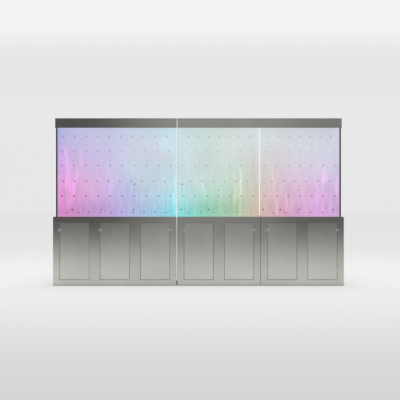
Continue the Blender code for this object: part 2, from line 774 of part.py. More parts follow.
def make_pump(bay, finishes):
    """The air pump: a finned casting on four feet, with its outlet, and the flow knob."""
    half = PUMP_LENGTH / 2
    x = bay.pump_x
    back = PUMP_FRONT + PUMP_DEPTH
    block = Shape().box(
        (x - half, PUMP_FRONT, PUMP_UNDERSIDE), (x + half, back, PUMP_TOP), PUMP_EDGE_RADIUS, BEND_SEGMENTS
    )
    pump = make_part(f"air_pump_{bay.name}", block, finishes["pump_casting"])
    fittings = Shape()
    for foot_x in (x - half + PUMP_FOOT_INSET, x + half - PUMP_FOOT_INSET):
        for foot_y in (PUMP_FRONT + PUMP_FOOT_INSET, back - PUMP_FOOT_INSET):
            bottom, top = PUMP_UNDERSIDE - PUMP_FOOT_HEIGHT, PUMP_UNDERSIDE + SINK
            fittings.rod((foot_x, foot_y, 0), 2, bottom, top, PUMP_FOOT_RADIUS, SMALL_SIDES)
    for i in range(PUMP_FIN_COUNT):
        fin_x = x - half + PUMP_EDGE_RADIUS + i * PUMP_FIN_SPACING
        fittings.box(
            (fin_x, PUMP_FRONT + PUMP_EDGE_RADIUS, PUMP_TOP - SINK),
            (fin_x + PUMP_FIN_PLATE, back - PUMP_EDGE_RADIUS, PUMP_TOP + PUMP_FIN_HEIGHT),
        )
    collar_top = PUMP_TOP + SPIGOT_COLLAR_HEIGHT
    spigot = (
        (0, PUMP_TOP - SINK),
        (SPIGOT_COLLAR_RADIUS, PUMP_TOP - SINK),
        (SPIGOT_COLLAR_RADIUS, collar_top),
        (SPIGOT_RADIUS, collar_top),
        (SPIGOT_RADIUS, PUMP_TOP + SPIGOT_HEIGHT),
        (0, PUMP_TOP + SPIGOT_HEIGHT),
    )
    fittings.turned(spigot, (*spigot_place(bay), 0), 2)
    knob_x, knob_z = x - half + KNOB_INSET, PUMP_UNDERSIDE + PUMP_HEIGHT / 2
    boss_front = PUMP_FRONT - KNOB_BOSS_LENGTH
    knob_back = boss_front - FIT
    spindle_end = knob_back - KNOB_BORE_DEPTH + FIT
    fittings.rod((knob_x, 0, knob_z), 1, boss_front, PUMP_FRONT + SINK, KNOB_BOSS_RADIUS)
    fittings.rod((knob_x, 0, knob_z), 1, spindle_end, boss_front + SINK, SPINDLE_RADIUS, SMALL_SIDES)
    weld(pump, fittings)

    outline = []
    steps = 3 * KNOB_LOBES
    for step in range(steps):
        angle = 2 * math.pi * step / steps
        radius = KNOB_RADIUS + KNOB_LOBE * math.cos(KNOB_LOBES * angle)
        outline.append((knob_x + radius * math.cos(angle), knob_z + radius * math.sin(angle)))
    grip = Shape().prism(outline, 1, knob_back - KNOB_LENGTH, knob_back)
    centre = (knob_x, knob_back, knob_z)
    knob = make_part(f"flow_knob_{bay.name}", grip, finishes["black_knob_plastic"], centre)
    bore_end = knob_back - KNOB_BORE_DEPTH
    bore_radius = SPINDLE_RADIUS + PIN_CLEARANCE
    cut(knob, Shape().rod(centre, 1, bore_end, knob_back + OVERRUN, bore_radius, SMALL_SIDES))


def make_hose(bay, finish):
    """The air hose from the pump's outlet up to the stem, on one smooth curve."""
    spigot_x, spigot_y = spigot_place(bay)
    start = Vector((spigot_x, spigot_y, PUMP_TOP + SPIGOT_HEIGHT + FIT))
    end = Vector((bay.stem_x, 0, STEM_BOTTOM - FIT))
    pull = Vector((0, 0, (end.z - start.z) * HOSE_PULL_SHARE))
    controls = (start, start + pull, end - pull, end)
    curve = bpy.data.curves.new(f"air_hose_{bay.name}", "CURVE")
    curve.dimensions = "3D"
    curve.bevel_depth = HOSE_RADIUS
    curve.bevel_resolution = 2
    curve.use_fill_caps = True
    line = curve.splines.new("POLY")
    line.points.add(HOSE_POINTS - 1)
    for i, point in enumerate(line.points):
        t = i / (HOSE_POINTS - 1)
        weights = ((1 - t) ** 3, 3 * t * (1 - t) ** 2, 3 * t * t * (1 - t), t**3)
        place = sum((c * w for c, w in zip(controls, weights)), Vector((0, 0, 0)))
        point.co = (*place, 1.0)
    curve.materials.append(finish)
    made = bpy.data.objects.new(curve.name, curve)
    bpy.context.scene.collection.objects.link(made)


def make_side_post(name, outer, inward, finish):
    """A folded channel that closes one end of the row of tanks. inward is the X direction."""
    half = TANK_HALF + FIT + POST_WALL
    face = half - POST_WALL
    lip = outer + inward * POST_WIDTH
    web = outer + inward * POST_WALL
    outline = (
        (outer, -half),
        (lip, -half),
        (lip, -face),
        (web, -face),
        (web, face),
        (lip, face),
        (lip, half),
        (outer, half),
    )
    channel = Shape().prism(outline, 2, TANK_FLOOR, TANK_TOP)
    make_part(name, channel, finish)


def make_divider(left_bay, finish):
    """The opal sheet between the two units, which carries light from the tanks to its edges."""
    base = CABINET_DEPTH / 2 - DIVIDER_SETBACK
    foot = base - DIVIDER_FOOT_SETBACK
    tank = TANK_HALF
    cap = CAP_DEPTH / 2 - DIVIDER_SETBACK
    half = (
        (foot, 0),
        (foot, DIVIDER_FOOT_HEIGHT),
        (base, DIVIDER_FOOT_HEIGHT),
        (base, CABINET_HEIGHT),
        (tank, CABINET_HEIGHT),
        (tank, CAP_BOTTOM),
        (cap, CAP_BOTTOM),
        (cap, CAP_TOP - DIVIDER_SETBACK),
    )
    outline = [*half, *((-y, z) for y, z in reversed(half))]
    start = left_bay.right + DIVIDER_CLEARANCE
    plate = Shape().prism(outline, 0, start, left_bay.right + LIT_SEAM - DIVIDER_CLEARANCE)
    make_part("lit_divider", plate, finish)


def make_cap(name, left, right, closed_side, finish):
    """A folded channel over the tank tops, closed at the end of the row and webbed inside.

    closed_side is -1 or 1, the X direction of its closed end. The webs rest on the tank tops.
    """
    half = CAP_DEPTH / 2
    outline = [(-half, CAP_BOTTOM), (half, CAP_BOTTOM)]
    for side, turn in ((1, 0), (-1, 1)):
        for step in range(BEND_SEGMENTS + 1):
            angle = math.pi / 2 * (step / BEND_SEGMENTS + turn)
            y = side * (half - CAP_EDGE_RADIUS) + CAP_EDGE_RADIUS * math.cos(angle)
            outline.append((y, CAP_TOP - CAP_EDGE_RADIUS + CAP_EDGE_RADIUS * math.sin(angle)))
    shell = Shape().prism(outline, 0, left, right)
    cap = make_part(name, shell, finish, (closed_side * max(abs(left), abs(right)), 0, CAP_BOTTOM))
    hollow_left = left + CAP_WALL if closed_side < 0 else left - OVERRUN
    hollow_right = right - CAP_WALL if closed_side > 0 else right + OVERRUN
    inner = half - CAP_WALL
    hollow = Shape().box(
        (hollow_left, -inner, CAP_BOTTOM - OVERRUN), (hollow_right, inner, CAP_TOP - CAP_WALL)
    )
    cut(cap, hollow)
    webs = Shape()
    run = right - left - 2 * CAP_WEB_INSET
    count = 1 + max(1, round(run / CAP_WEB_SPACING))
    for i in range(count):
        x = left + CAP_WEB_INSET + run * i / (count - 1)
        webs.box(
            (x - CAP_WEB / 2, -inner - SINK, TANK_TOP + FIT),
            (x + CAP_WEB / 2, inner + SINK, CAP_TOP - CAP_WALL + SINK),
        )
    weld(cap, webs)


def make_power_unit(bay, finishes):
    """The power unit inside the back panel, its inlet, and the rocker switch beside the inlet."""
    x, z = bay.left + POWER_INSET, POWER_CENTRE_HEIGHT
    rear = BACK - SKIN - FIT
    case = Shape().box(
        (x - POWER_WIDTH / 2, rear - POWER_DEPTH, z - POWER_HEIGHT / 2),
        (x + POWER_WIDTH / 2, rear, z + POWER_HEIGHT / 2),
        POWER_EDGE_RADIUS,
    )
    unit = make_part("power_unit", case, finishes["power_unit_plastic"])
    faceplate = Shape().box(
        (x - FACEPLATE_WIDTH / 2, rear - SKIN, z - FACEPLATE_HEIGHT / 2),
        (x + FACEPLATE_WIDTH / 2, BACK, z + FACEPLATE_HEIGHT / 2),
    )
    weld(unit, faceplate)
    inlet_x, rocker_x = x - INLET_OFFSET, x + INLET_OFFSET
    recesses = Shape().box(
        (inlet_x - INLET_WIDTH / 2, BACK - INLET_DEPTH, z - INLET_HEIGHT / 2),
        (inlet_x + INLET_WIDTH / 2, BACK + OVERRUN, z + INLET_HEIGHT / 2),
    )
    recesses.box(
        (rocker_x - ROCKER_RECESS_WIDTH / 2, BACK - ROCKER_RECESS_DEPTH, z - ROCKER_RECESS_HEIGHT / 2),
        (rocker_x + ROCKER_RECESS_WIDTH / 2, BACK + OVERRUN, z + ROCKER_RECESS_HEIGHT / 2),
    )
    cut(unit, recesses)
    blades = Shape()
    for offset in (-BLADE_SPACING, 0, BLADE_SPACING):
        blades.box(
            (inlet_x + offset - BLADE_WIDTH / 2, BACK - INLET_DEPTH - SINK, z - BLADE_HEIGHT / 2),
            (inlet_x + offset + BLADE_WIDTH / 2, BACK - INLET_DEPTH + BLADE_LENGTH, z + BLADE_HEIGHT / 2),
        )
    weld(unit, blades)

    half = ROCKER_LENGTH / 2
    outline = (
        (-ROCKER_THICKNESS, -half),
        (ROCKER_END_RISE, -half),
        (ROCKER_MIDDLE_RISE, 0),
        (ROCKER_END_RISE, half),
        (-ROCKER_THICKNESS, half),
    )
    cosine, sine = math.cos(ROCKER_REST_ANGLE), math.sin(ROCKER_REST_ANGLE)
    pivot_y = BACK - FIT - ROCKER_END_RISE - half * abs(sine)
    turned = [(pivot_y + y * cosine - u * sine, z + y * sine + u * cosine) for y, u in outline]
    side = ROCKER_RECESS_WIDTH / 2 - FIT
    rocker = Shape().prism(turned, 0, rocker_x - side, rocker_x + side)
    make_part("power_rocker", rocker, finishes["black_knob_plastic"], (rocker_x, pivot_y, z))
    return x, z, FACEPLATE_WIDTH, FACEPLATE_HEIGHT


def main():
    """Builds the whole wall."""
    for old in list(bpy.data.objects):
        bpy.data.objects.remove(old)
    finishes = make_finishes()
    steel = finishes["brushed_stainless"]
    bays = lay_out_bays()
    window = make_power_unit(bays[0], finishes)
    number = 0
    for bay in bays:
        make_cabinet(bay, steel)
        make_fascia(bay, steel)
        make_back_panel(bay, steel, window if bay is bays[0] else None)
        for index, side in enumerate(HINGE_SIDES[bay.name]):
            number += 1
            make_door(number, bay.opening(index), side, steel)
            make_plunger(number, bay.opening(index), side, finishes["steel_plunger"])
        make_tank(bay, finishes)
        make_bubble_bar(bay, finishes["air_line_nylon"])
        make_light_bar(bay, finishes["light_bar_aluminium"])
        make_drain(bay, finishes)
        make_pump(bay, finishes)
        make_hose(bay, finishes["silicone_hose"])
    left, middle, right = bays
    make_side_post("side_post_left", left.left + POST_INSET, 1, finishes["dark_stainless"])
    make_side_post("side_post_right", right.right - POST_INSET, -1, finishes["dark_stainless"])
    make_divider(left, finishes["opal_acrylic"])
    make_cap("cap_left", left.left, left.right, -1, steel)
    make_cap("cap_right", middle.left, right.right, 1, steel)
    even_shading()


main()
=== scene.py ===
"""Looks of a lit bubble wall: three water tanks on a long steel cabinet, under a steel cap.

Everything is in metres, +Z up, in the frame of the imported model. The cabinet stands on z = 0, its
doors face -Y, and the row of tanks runs along X.
"""

import json
import logging
import math
from dataclasses import dataclass
from enum import Enum
from typing import Any, ClassVar, Iterable, Sequence

import bmesh
import bpy
from mathutils import Euler, Matrix, Vector


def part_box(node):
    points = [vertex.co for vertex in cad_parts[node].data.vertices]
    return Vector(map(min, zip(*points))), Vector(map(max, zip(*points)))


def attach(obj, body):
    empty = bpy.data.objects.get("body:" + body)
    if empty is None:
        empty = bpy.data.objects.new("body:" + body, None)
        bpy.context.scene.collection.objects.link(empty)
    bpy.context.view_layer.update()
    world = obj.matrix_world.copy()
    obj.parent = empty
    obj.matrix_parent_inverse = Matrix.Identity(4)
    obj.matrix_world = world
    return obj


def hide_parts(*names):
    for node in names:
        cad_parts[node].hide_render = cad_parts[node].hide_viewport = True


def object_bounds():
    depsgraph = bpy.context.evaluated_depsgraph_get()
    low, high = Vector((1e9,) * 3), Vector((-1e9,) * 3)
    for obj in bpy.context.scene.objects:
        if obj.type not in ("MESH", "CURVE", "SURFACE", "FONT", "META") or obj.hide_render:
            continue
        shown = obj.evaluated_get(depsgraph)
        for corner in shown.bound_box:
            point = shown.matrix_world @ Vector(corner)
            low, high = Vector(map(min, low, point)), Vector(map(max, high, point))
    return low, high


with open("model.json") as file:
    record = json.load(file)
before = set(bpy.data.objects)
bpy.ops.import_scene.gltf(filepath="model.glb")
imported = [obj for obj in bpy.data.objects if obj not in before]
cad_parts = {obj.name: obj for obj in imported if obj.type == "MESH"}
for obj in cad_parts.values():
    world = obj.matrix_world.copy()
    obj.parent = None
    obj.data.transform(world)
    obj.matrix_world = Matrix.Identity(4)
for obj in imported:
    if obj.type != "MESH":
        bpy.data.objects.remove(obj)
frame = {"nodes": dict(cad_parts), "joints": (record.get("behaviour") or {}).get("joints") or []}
CAD_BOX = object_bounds()

LOG = logging.getLogger("bubble_wall")
MM = 0.001
ROOT = "root"
SMOOTH_ANGLE = math.radians(35)
QUARTER = math.radians(90)
# How a part that stands on the +Z axis is turned to face the front, the back or along the wall.
TO_FRONT, TO_BACK, ALONG = (QUARTER, 0, 0), (-QUARTER, 0, 0), (0, QUARTER, 0)
# A random pattern mostly stays between these two values.
PATTERN_LOW, PATTERN_HIGH = 0.3, 0.7
ROUGHNESS_SPREAD = 0.15
WHITE = "FFFFFF"
ACRYLIC_IOR, AIR_IOR, WATER_IOR = 1.49, 1.0, 1.33

Tree = bpy.types.NodeTree
Node = bpy.types.Node
Mesh = bpy.types.Mesh
Piece = bpy.types.Object
Place = tuple[float, float, float]
Stops = Sequence[tuple[float, float | str]]
Outline = Sequence[tuple[float, float]]

# The steps that materials and patterns are made of: a node's type, the output that is wanted, its settings.
STEPS = {
    **{name: ("ShaderNodeMath", 0, {"operation": name}) for name in (
        "ABSOLUTE", "ADD", "ARCTAN2", "COMPARE", "DEGREES", "DIVIDE", "GREATER_THAN", "LESS_THAN", "MAXIMUM",
        "MINIMUM", "MODULO", "MULTIPLY", "MULTIPLY_ADD", "PINGPONG", "POWER", "SINE", "SUBTRACT")},
    "SCALE": ("ShaderNodeVectorMath", 0, {"operation": "SCALE"}),
    "TINT": ("ShaderNodeVectorMath", 0, {"operation": "MULTIPLY"}),
    "LENGTH": ("ShaderNodeVectorMath", "Value", {"operation": "LENGTH"}),
    "DISTANCE": ("ShaderNodeVectorMath", "Value", {"operation": "DISTANCE"}),
    "RANGE": ("ShaderNodeMapRange", 0, {}),
    "SOFT_RANGE": ("ShaderNodeMapRange", 0, {"interpolation_type": "SMOOTHSTEP"}),
    "MIX": ("ShaderNodeMix", 0, {}),
    "MIX_COLOUR": ("ShaderNodeMix", 2, {"data_type": "RGBA"}),
    "OBJECT_PLACE": ("ShaderNodeTexCoord", "Object", {}),
    "SPLIT": ("ShaderNodeSeparateXYZ", 0, {}),
    "JOIN": ("ShaderNodeCombineXYZ", 0, {}),
    "HUE": ("ShaderNodeHueSaturation", 0, {}),
}


def linear(code: str) -> tuple[float, float, float, float]:
    """Turn an sRGB hex colour into linear light.

    Args:
        code: six hex digits.

    Returns:
        Red, green, blue and an alpha of 1.
    """
    shares = [int(code[i:i + 2], 16) / 255 for i in (0, 2, 4)]
    red, green, blue = (s / 12.92 if s <= 0.04045 else ((s + 0.055) / 1.055) ** 2.4 for s in shares)
    return red, green, blue, 1.0


def feed(tree: Tree, node: Node, inputs: dict | Sequence) -> None:
    """Give a node its values and its links.

    Args:
        tree: the node tree that it is in.
        node: the node.
        inputs: for each input, by name, by number or in order, a value, an output or a list of outputs.
    """
    for key, value in inputs.items() if isinstance(inputs, dict) else enumerate(inputs):
        for source in value if isinstance(value, list) else [value]:
            if isinstance(source, bpy.types.NodeSocket):
                tree.links.new(source, node.inputs[key])
            else:
                node.inputs[key].default_value = source


def add_node(tree: Tree, kind: str, inputs: dict | Sequence = (), out: int | str | None = None,
             **settings: Any) -> Any:
    """Add one node with its settings, its values and its links.

    Args:
        tree: the node tree that gets it.
        kind: one of the STEPS, or a node's type.
        inputs: its values and links, as feed takes them.
        out: the output that is wanted, where it isn't the usual one.
        settings: the node's own properties.

    Returns:
        The wanted output, or the node itself where it has none.
    """
    kind, usual, own = STEPS.get(kind, (kind, 0, {}))
    node = tree.nodes.new(kind)
    for name, value in {**own, **settings}.items():
        setattr(node, name, value)
    feed(tree, node, inputs)
    return node.outputs[usual if out is None else out] if node.outputs else node


def graded(tree: Tree, measure: Any, stops: Stops) -> Any:
    """Read a tone or a colour off a list of stops.

    Args:
        tree: the node tree that gets the nodes.
        measure: the output that is looked up.
        stops: pairs of a measure, rising, and the tone or hex colour that stands there.

    Returns:
        The output that carries the tone or colour.
    """
    low, high = stops[0][0], stops[-1][0]
    scale = add_node(tree, "ShaderNodeValToRGB", [add_node(tree, "RANGE", (measure, low, high))])
    marks = scale.node.color_ramp.elements
    for index, (at, tone) in enumerate(stops):
        last = index == len(stops) - 1
        mark = marks[0] if index == 0 else marks[-1] if last else marks.new((at - low) / (high - low))
        mark.color = linear(tone) if isinstance(tone, str) else (tone, tone, tone, 1.0)
    return scale


def located(tree: Tree) -> tuple[Any, Any, Any, Any]:
    """Return the outputs with the place on the object, and its three coordinates."""
    place = add_node(tree, "OBJECT_PLACE")
    return place, *add_node(tree, "SPLIT", [place]).node.outputs


def pattern(tree: Tree, place: Any, sizes_mm: Place | float, **inputs: float) -> Any:
    """Add a soft random pattern at a real size.

    Args:
        tree: the node tree that gets the nodes.
        place: the output with the place in metres.
        sizes_mm: the size of one patch in mm, the same all ways or along each axis.
        inputs: how much detail it has, and how rough that is.

    Returns:
        The pattern's output, about 0.5 on average.
    """
    sizes = sizes_mm if isinstance(sizes_mm, tuple) else (sizes_mm,) * 3
    scale = tuple(1 / (size * MM) for size in sizes)
    drawn = add_node(tree, "ShaderNodeMapping", {"Vector": place, "Scale": scale})
    return add_node(tree, "ShaderNodeTexNoise", {"Vector": drawn, "Scale": 1.0, **inputs})


def uneven(tree: Tree, noise: Any, middle: float, share: float, low: float = PATTERN_LOW) -> Any:
    """Let a number rise and fall with a random pattern.

    Args:
        tree: the node tree that gets the nodes.
        noise: the pattern's output.
        middle: the number.
        share: how far it rises and falls at most.
        low: the pattern's value at which it is lowest.

    Returns:
        The output with the uneven number.
    """
    return add_node(tree, "RANGE", (noise, low, 1 - low, middle * (1 - share), middle * (1 + share)))


def varied(tree: Tree, tone: Any, noise: Any, share: float, low: float = PATTERN_LOW) -> Any:
    """Make a colour lighter and darker by a random pattern.

    Args:
        tree: the node tree that gets the nodes.
        tone: the colour's output.
        noise: the pattern's output.
        share: how much lighter or darker it gets at most.
        low: the pattern's value at which it is darkest.

    Returns:
        The output with the varied colour.
    """
    return add_node(tree, "SCALE", {0: tone, "Scale": uneven(tree, noise, 1.0, share, low)})


def middle_of(points: Iterable[Vector], axis: int) -> float:
    """Return the middle of some points along one axis."""
    places = [point[axis] for point in points]
    return (min(places) + max(places)) / 2


def in_scene(name: str, data: bpy.types.ID) -> Piece:
    """Put data in the scene as an object with a name.

    Args:
        name: the object's name.
        data: its mesh, curve, camera or light.

    Returns:
        The object.
    """
    piece = bpy.data.objects.new(name, data)
    bpy.context.scene.collection.objects.link(piece)
    return piece


def fix(piece: Piece, body: str, slot: str, *replaced: str) -> None:
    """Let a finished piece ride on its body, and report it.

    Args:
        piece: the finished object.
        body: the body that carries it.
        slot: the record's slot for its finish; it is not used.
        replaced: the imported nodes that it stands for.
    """
    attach(piece, body)
    if replaced:
        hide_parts(*replaced)
    LOG.info("%s rides on %s with %d faces", piece.name, body, len(piece.data.polygons))


def smooth(mesh: Mesh) -> Mesh:
    """Shade a mesh smooth, but for its sharp edges, and return it."""
    mesh.shade_smooth()
    mesh.set_sharp_from_angle(angle=SMOOTH_ANGLE)
    return mesh


def squared(mesh: Mesh) -> Mesh:
    """Shade a sheet or bar smooth only round its eased edges.

    Args:
        mesh: the mesh, whose flat faces lie square to the axes.

    Returns:
        The same mesh.
    """
    square = 0.9999
    for face in smooth(mesh).polygons:
        face.use_smooth = max(abs(part) for part in face.normal) < square
    return mesh


def meshed(shape: bmesh.types.BMesh, name: str) -> Mesh:
    """Turn a closed shape into a mesh whose faces point outwards.

    Args:
        shape: the shape, which is freed.
        name: the mesh's name.

    Returns:
        The mesh.
    """
    bmesh.ops.recalc_face_normals(shape, faces=shape.faces)
    mesh = bpy.data.meshes.new(name)
    shape.to_mesh(mesh)
    shape.free()
    return mesh


def turned(name: str, profile: Outline, sides: int, hollow: bool = False) -> Mesh:
    """Make a closed turned part that stands on the +Z axis.

    Args:
        name: the mesh's name.
        profile: radius and height at each ring from the bottom up; its two ends may lie on the axis.
        sides: faces round the axis.
        hollow: join the last ring to the first, as in a clamp or washer.

    Returns:
        The smooth mesh.
    """
    shape = bmesh.new()
    rings = []
    for radius, height in profile:
        count = sides if radius > 0 else 1
        turns = [2 * math.pi * i / count for i in range(count)]
        rings.append([shape.verts.new((radius * math.cos(a), radius * math.sin(a), height)) for a in turns])
    for lower, upper in zip(rings, rings[1:] + rings[:1] if hollow else rings[1:]):
        for i in range(sides):
            corners = [lower[i % len(lower)], lower[(i + 1) % len(lower)],
                       upper[(i + 1) % len(upper)], upper[i % len(upper)]]
            shape.faces.new(list(dict.fromkeys(corners)))
    for end in () if hollow else (rings[0], rings[-1]):
        if len(end) > 1:
            shape.faces.new(end)
    return smooth(meshed(shape, name))


def slab(name: str, low: Place, high: Place, edge: float) -> Mesh:
    """Make a sheet or bar between two corners, with its edges eased.

    Args:
        name: the mesh's name.
        low: its lowest corner.
        high: its highest corner.
        edge: the width of the eased edges.

    Returns:
        The mesh.
    """
    shape = bmesh.new()
    bmesh.ops.create_cube(shape, size=1)
    size = Vector(high) - Vector(low)
    place = Matrix.Translation((Vector(high) + Vector(low)) / 2) @ Matrix.Diagonal((*size, 1))
    bmesh.ops.transform(shape, matrix=place, verts=shape.verts)
    bmesh.ops.bevel(shape, geom=shape.edges[:], offset=edge, segments=2, profile=0.5, affect="EDGES")
    return squared(meshed(shape, name))


def rounded(middle: tuple[float, float], width: float, height: float, radius: float,
            steps: int = 6) -> Outline:
    """Draw a rectangle with round corners, such as a slot.

    Args:
        middle: its middle, across and up.
        width: its size across.
        height: its size upwards.
        radius: the radius of its corners.
        steps: straight steps in each corner.

    Returns:
        Its outline, across and up.
    """
    outline = []
    for corner, (right, up) in enumerate(((1, 1), (-1, 1), (-1, -1), (1, -1))):
        x = middle[0] + right * (width / 2 - radius)
        z = middle[1] + up * (height / 2 - radius)
        turns = [QUARTER * (corner + step / steps) for step in range(steps + 1)]
        outline += [(x + radius * math.cos(a), z + radius * math.sin(a)) for a in turns]
    return outline


def punched(name: str, outlines: Sequence[Outline], front: float, back: float, edge: float) -> Mesh:
    """Make an upright sheet with holes and eased edges.

    Args:
        name: the mesh's name.
        outlines: the sheet's outline, then each hole's, across and up.
        front: the lower place of the sheet along Y.
        back: the higher place along Y.
        edge: the width of the eased edges.

    Returns:
        The mesh.
    """
    curve = bpy.data.curves.new(name, "CURVE")
    curve.dimensions, curve.fill_mode = "2D", "BOTH"
    curve.extrude = (back - front) / 2 - edge
    curve.bevel_depth, curve.bevel_resolution, curve.offset = edge, 1, -edge
    for outline in outlines:
        line = curve.splines.new("POLY")
        line.points.add(len(outline) - 1)
        for point, (x, z) in zip(line.points, outline):
            point.co = (x, z, 0.0, 1.0)
        line.use_cyclic_u = True
    model = in_scene(f"{name}_model", curve)
    sheet = bpy.data.meshes.new_from_object(model.evaluated_get(bpy.context.evaluated_depsgraph_get()))
    bpy.data.objects.remove(model)
    shape = bmesh.new()
    shape.from_mesh(sheet)
    bpy.data.meshes.remove(sheet)
    same_spot = edge / 50
    bmesh.ops.remove_doubles(shape, verts=shape.verts, dist=same_spot)
    upright = Matrix.Translation((0, (front + back) / 2, 0)) @ Matrix.Rotation(QUARTER, 4, "X")
    bmesh.ops.transform(shape, matrix=upright, verts=shape.verts)
    return squared(meshed(shape, name))


class Profile(Enum):
    """A small turned part, as shares of its radius and of its height from the bottom up."""

    # Socket screws, one standing proud and one let in flush, and a nut on the end of its spindle.
    PAN_SCREW = ((1.0, 0.0), (1.0, 0.5), (0.85, 0.9), (0.7, 1.0), (0.45, 1.0), (0.42, 0.3))
    FLAT_SCREW = ((0.5, -1.6), (0.97, -0.15), (0.97, -0.02), (0.93, 0.0), (0.45, 0.0), (0.42, -0.9))
    NUT = ((1.0, 0.0), (1.0, 0.85), (0.85, 1.0), (0.5, 1.0), (0.4, 1.1))
    # A printed dot, a stud with a round head, and a capsule whose height is measured from its middle.
    DOT = ((1.0, -1.0), (1.0, 0.5), (0.7, 1.0), (0.0, 1.0))
    STUD = ((0.6, -0.0114), (0.6, 0.25), (0.9, 0.35), (1.0, 0.55), (0.85, 0.8), (0.5, 0.95), (0.0, 1.0))
    CAPSULE = ((0.0, -1.0), (0.6, -0.9417), (1.0, -0.7083), (1.0, 0.7083), (0.6, 0.9417), (0.0, 1.0))

    def part(self, radius: float, height: float, sides: int = 12) -> Mesh:
        """Return the part's mesh, standing on the +Z axis."""
        return turned(self.name.lower(), [(radius * out, height * up) for out, up in self.value], sides)


@dataclass(frozen=True)
class Finish:
    """One surface finish, whose node material is made the first time that it is asked for."""

    name: str

    def wire(self, tree: Tree, surface: Node) -> None:
        """Add the finish's nodes round its shader."""
        raise NotImplementedError

    def material(self) -> bpy.types.Material:
        """Return the finish's material."""
        made = bpy.data.materials.get(self.name)
        if made is None:
            made = bpy.data.materials.new(self.name)
            made.use_nodes = True
            self.wire(made.node_tree, made.node_tree.nodes["Principled BSDF"])
        return made

    def dress(self, *nodes: str) -> None:
        """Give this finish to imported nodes."""
        for place in (place for node in nodes for place in frame["nodes"][node].material_slots):
            place.material = self.material()

    def fit(self, mesh: Mesh, body: str, slot: str, *replaced: str) -> None:
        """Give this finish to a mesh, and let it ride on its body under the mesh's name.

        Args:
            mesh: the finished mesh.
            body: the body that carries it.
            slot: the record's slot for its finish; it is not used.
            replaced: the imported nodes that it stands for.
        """
        mesh.materials.append(self.material())
        fix(in_scene(mesh.name, mesh), body, slot, *replaced)

    def repeat(self, name: str, points: Iterable[Place], part: Mesh, body: str, slot: str, *replaced: str,
               turn: Place = (0.0, 0.0, 0.0)) -> None:
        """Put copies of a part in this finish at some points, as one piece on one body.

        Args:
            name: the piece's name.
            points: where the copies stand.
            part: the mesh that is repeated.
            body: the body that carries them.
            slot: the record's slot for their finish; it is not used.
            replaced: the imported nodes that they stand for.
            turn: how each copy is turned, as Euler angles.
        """
        spots = bpy.data.meshes.new(name)
        spots.from_pydata([tuple(point) for point in points], [], [])
        model = in_scene(f"{name}_model", part)
        piece = PartsAtPoints().grow(in_scene(name, spots),
                                     {"Part": model, "Turn": turn, "Finish": self.material()})
        bpy.data.objects.remove(model)
        fix(piece, body, slot, *replaced)


class Growth:
    """Geometry Nodes with named inputs, whose tree is built the first time that it is asked for."""

    name = ""
    inputs: tuple[tuple[str, str], ...] = ()

    def copies(self, tree: Tree, given: Any) -> Any:
        """Add the nodes that place the copies, and return their output."""
        raise NotImplementedError

    def tree(self) -> Tree:
        """Return the node tree, which makes the copies real and gives them their finish."""
        made = bpy.data.node_groups.get(self.name)
        if made is None:
            made = bpy.data.node_groups.new(self.name, "GeometryNodeTree")
            for name, kind in (*self.inputs, ("Finish", "Material")):
                made.interface.new_socket(name=name, in_out="INPUT", socket_type=f"NodeSocket{kind}")
            made.interface.new_socket(name="Made", in_out="OUTPUT", socket_type="NodeSocketGeometry")
            given = add_node(made, "NodeGroupInput").node.outputs
            real = add_node(made, "GeometryNodeRealizeInstances", [self.copies(made, given)])
            real_in_finish = {"Geometry": real, "Material": given["Finish"]}
            add_node(made, "NodeGroupOutput", [add_node(made, "GeometryNodeSetMaterial", real_in_finish)])
        return made

    def grow(self, piece: Piece, *runs: dict[str, Any]) -> Piece:
        """Run the nodes on a piece once for each set of inputs, and keep the plain mesh.

        Args:
            piece: the object that the nodes start from.
            runs: the named inputs of each run.

        Returns:
            The same piece, with the result as its mesh and no modifier.
        """
        tree = self.tree()
        sockets = {item.name: item.identifier for item in tree.interface.items_tree if item.in_out == "INPUT"}
        for values in runs:
            modifier = piece.modifiers.new(tree.name, "NODES")
            modifier.node_group = tree
            for name, value in values.items():
                modifier[sockets[name]] = value
        mesh = bpy.data.meshes.new_from_object(piece.evaluated_get(bpy.context.evaluated_depsgraph_get()))
        piece.modifiers.clear()
        piece.data = smooth(mesh)
        return piece


class PartsAtPoints(Growth):
    """Geometry Nodes that put a copy of one part at each point of a mesh."""

    name = "parts_at_points"
    inputs = (("Points", "Geometry"), ("Part", "Object"), ("Turn", "Rotation"))

    def copies(self, tree: Tree, given: Any) -> Any:
        """Put the turned part at each point."""
        part = add_node(tree, "GeometryNodeObjectInfo", {"Object": given["Part"], "As Instance": True},
                        "Geometry")
        return add_node(tree, "GeometryNodeInstanceOnPoints",
                        {"Points": given["Points"], "Instance": part, "Rotation": given["Turn"]})


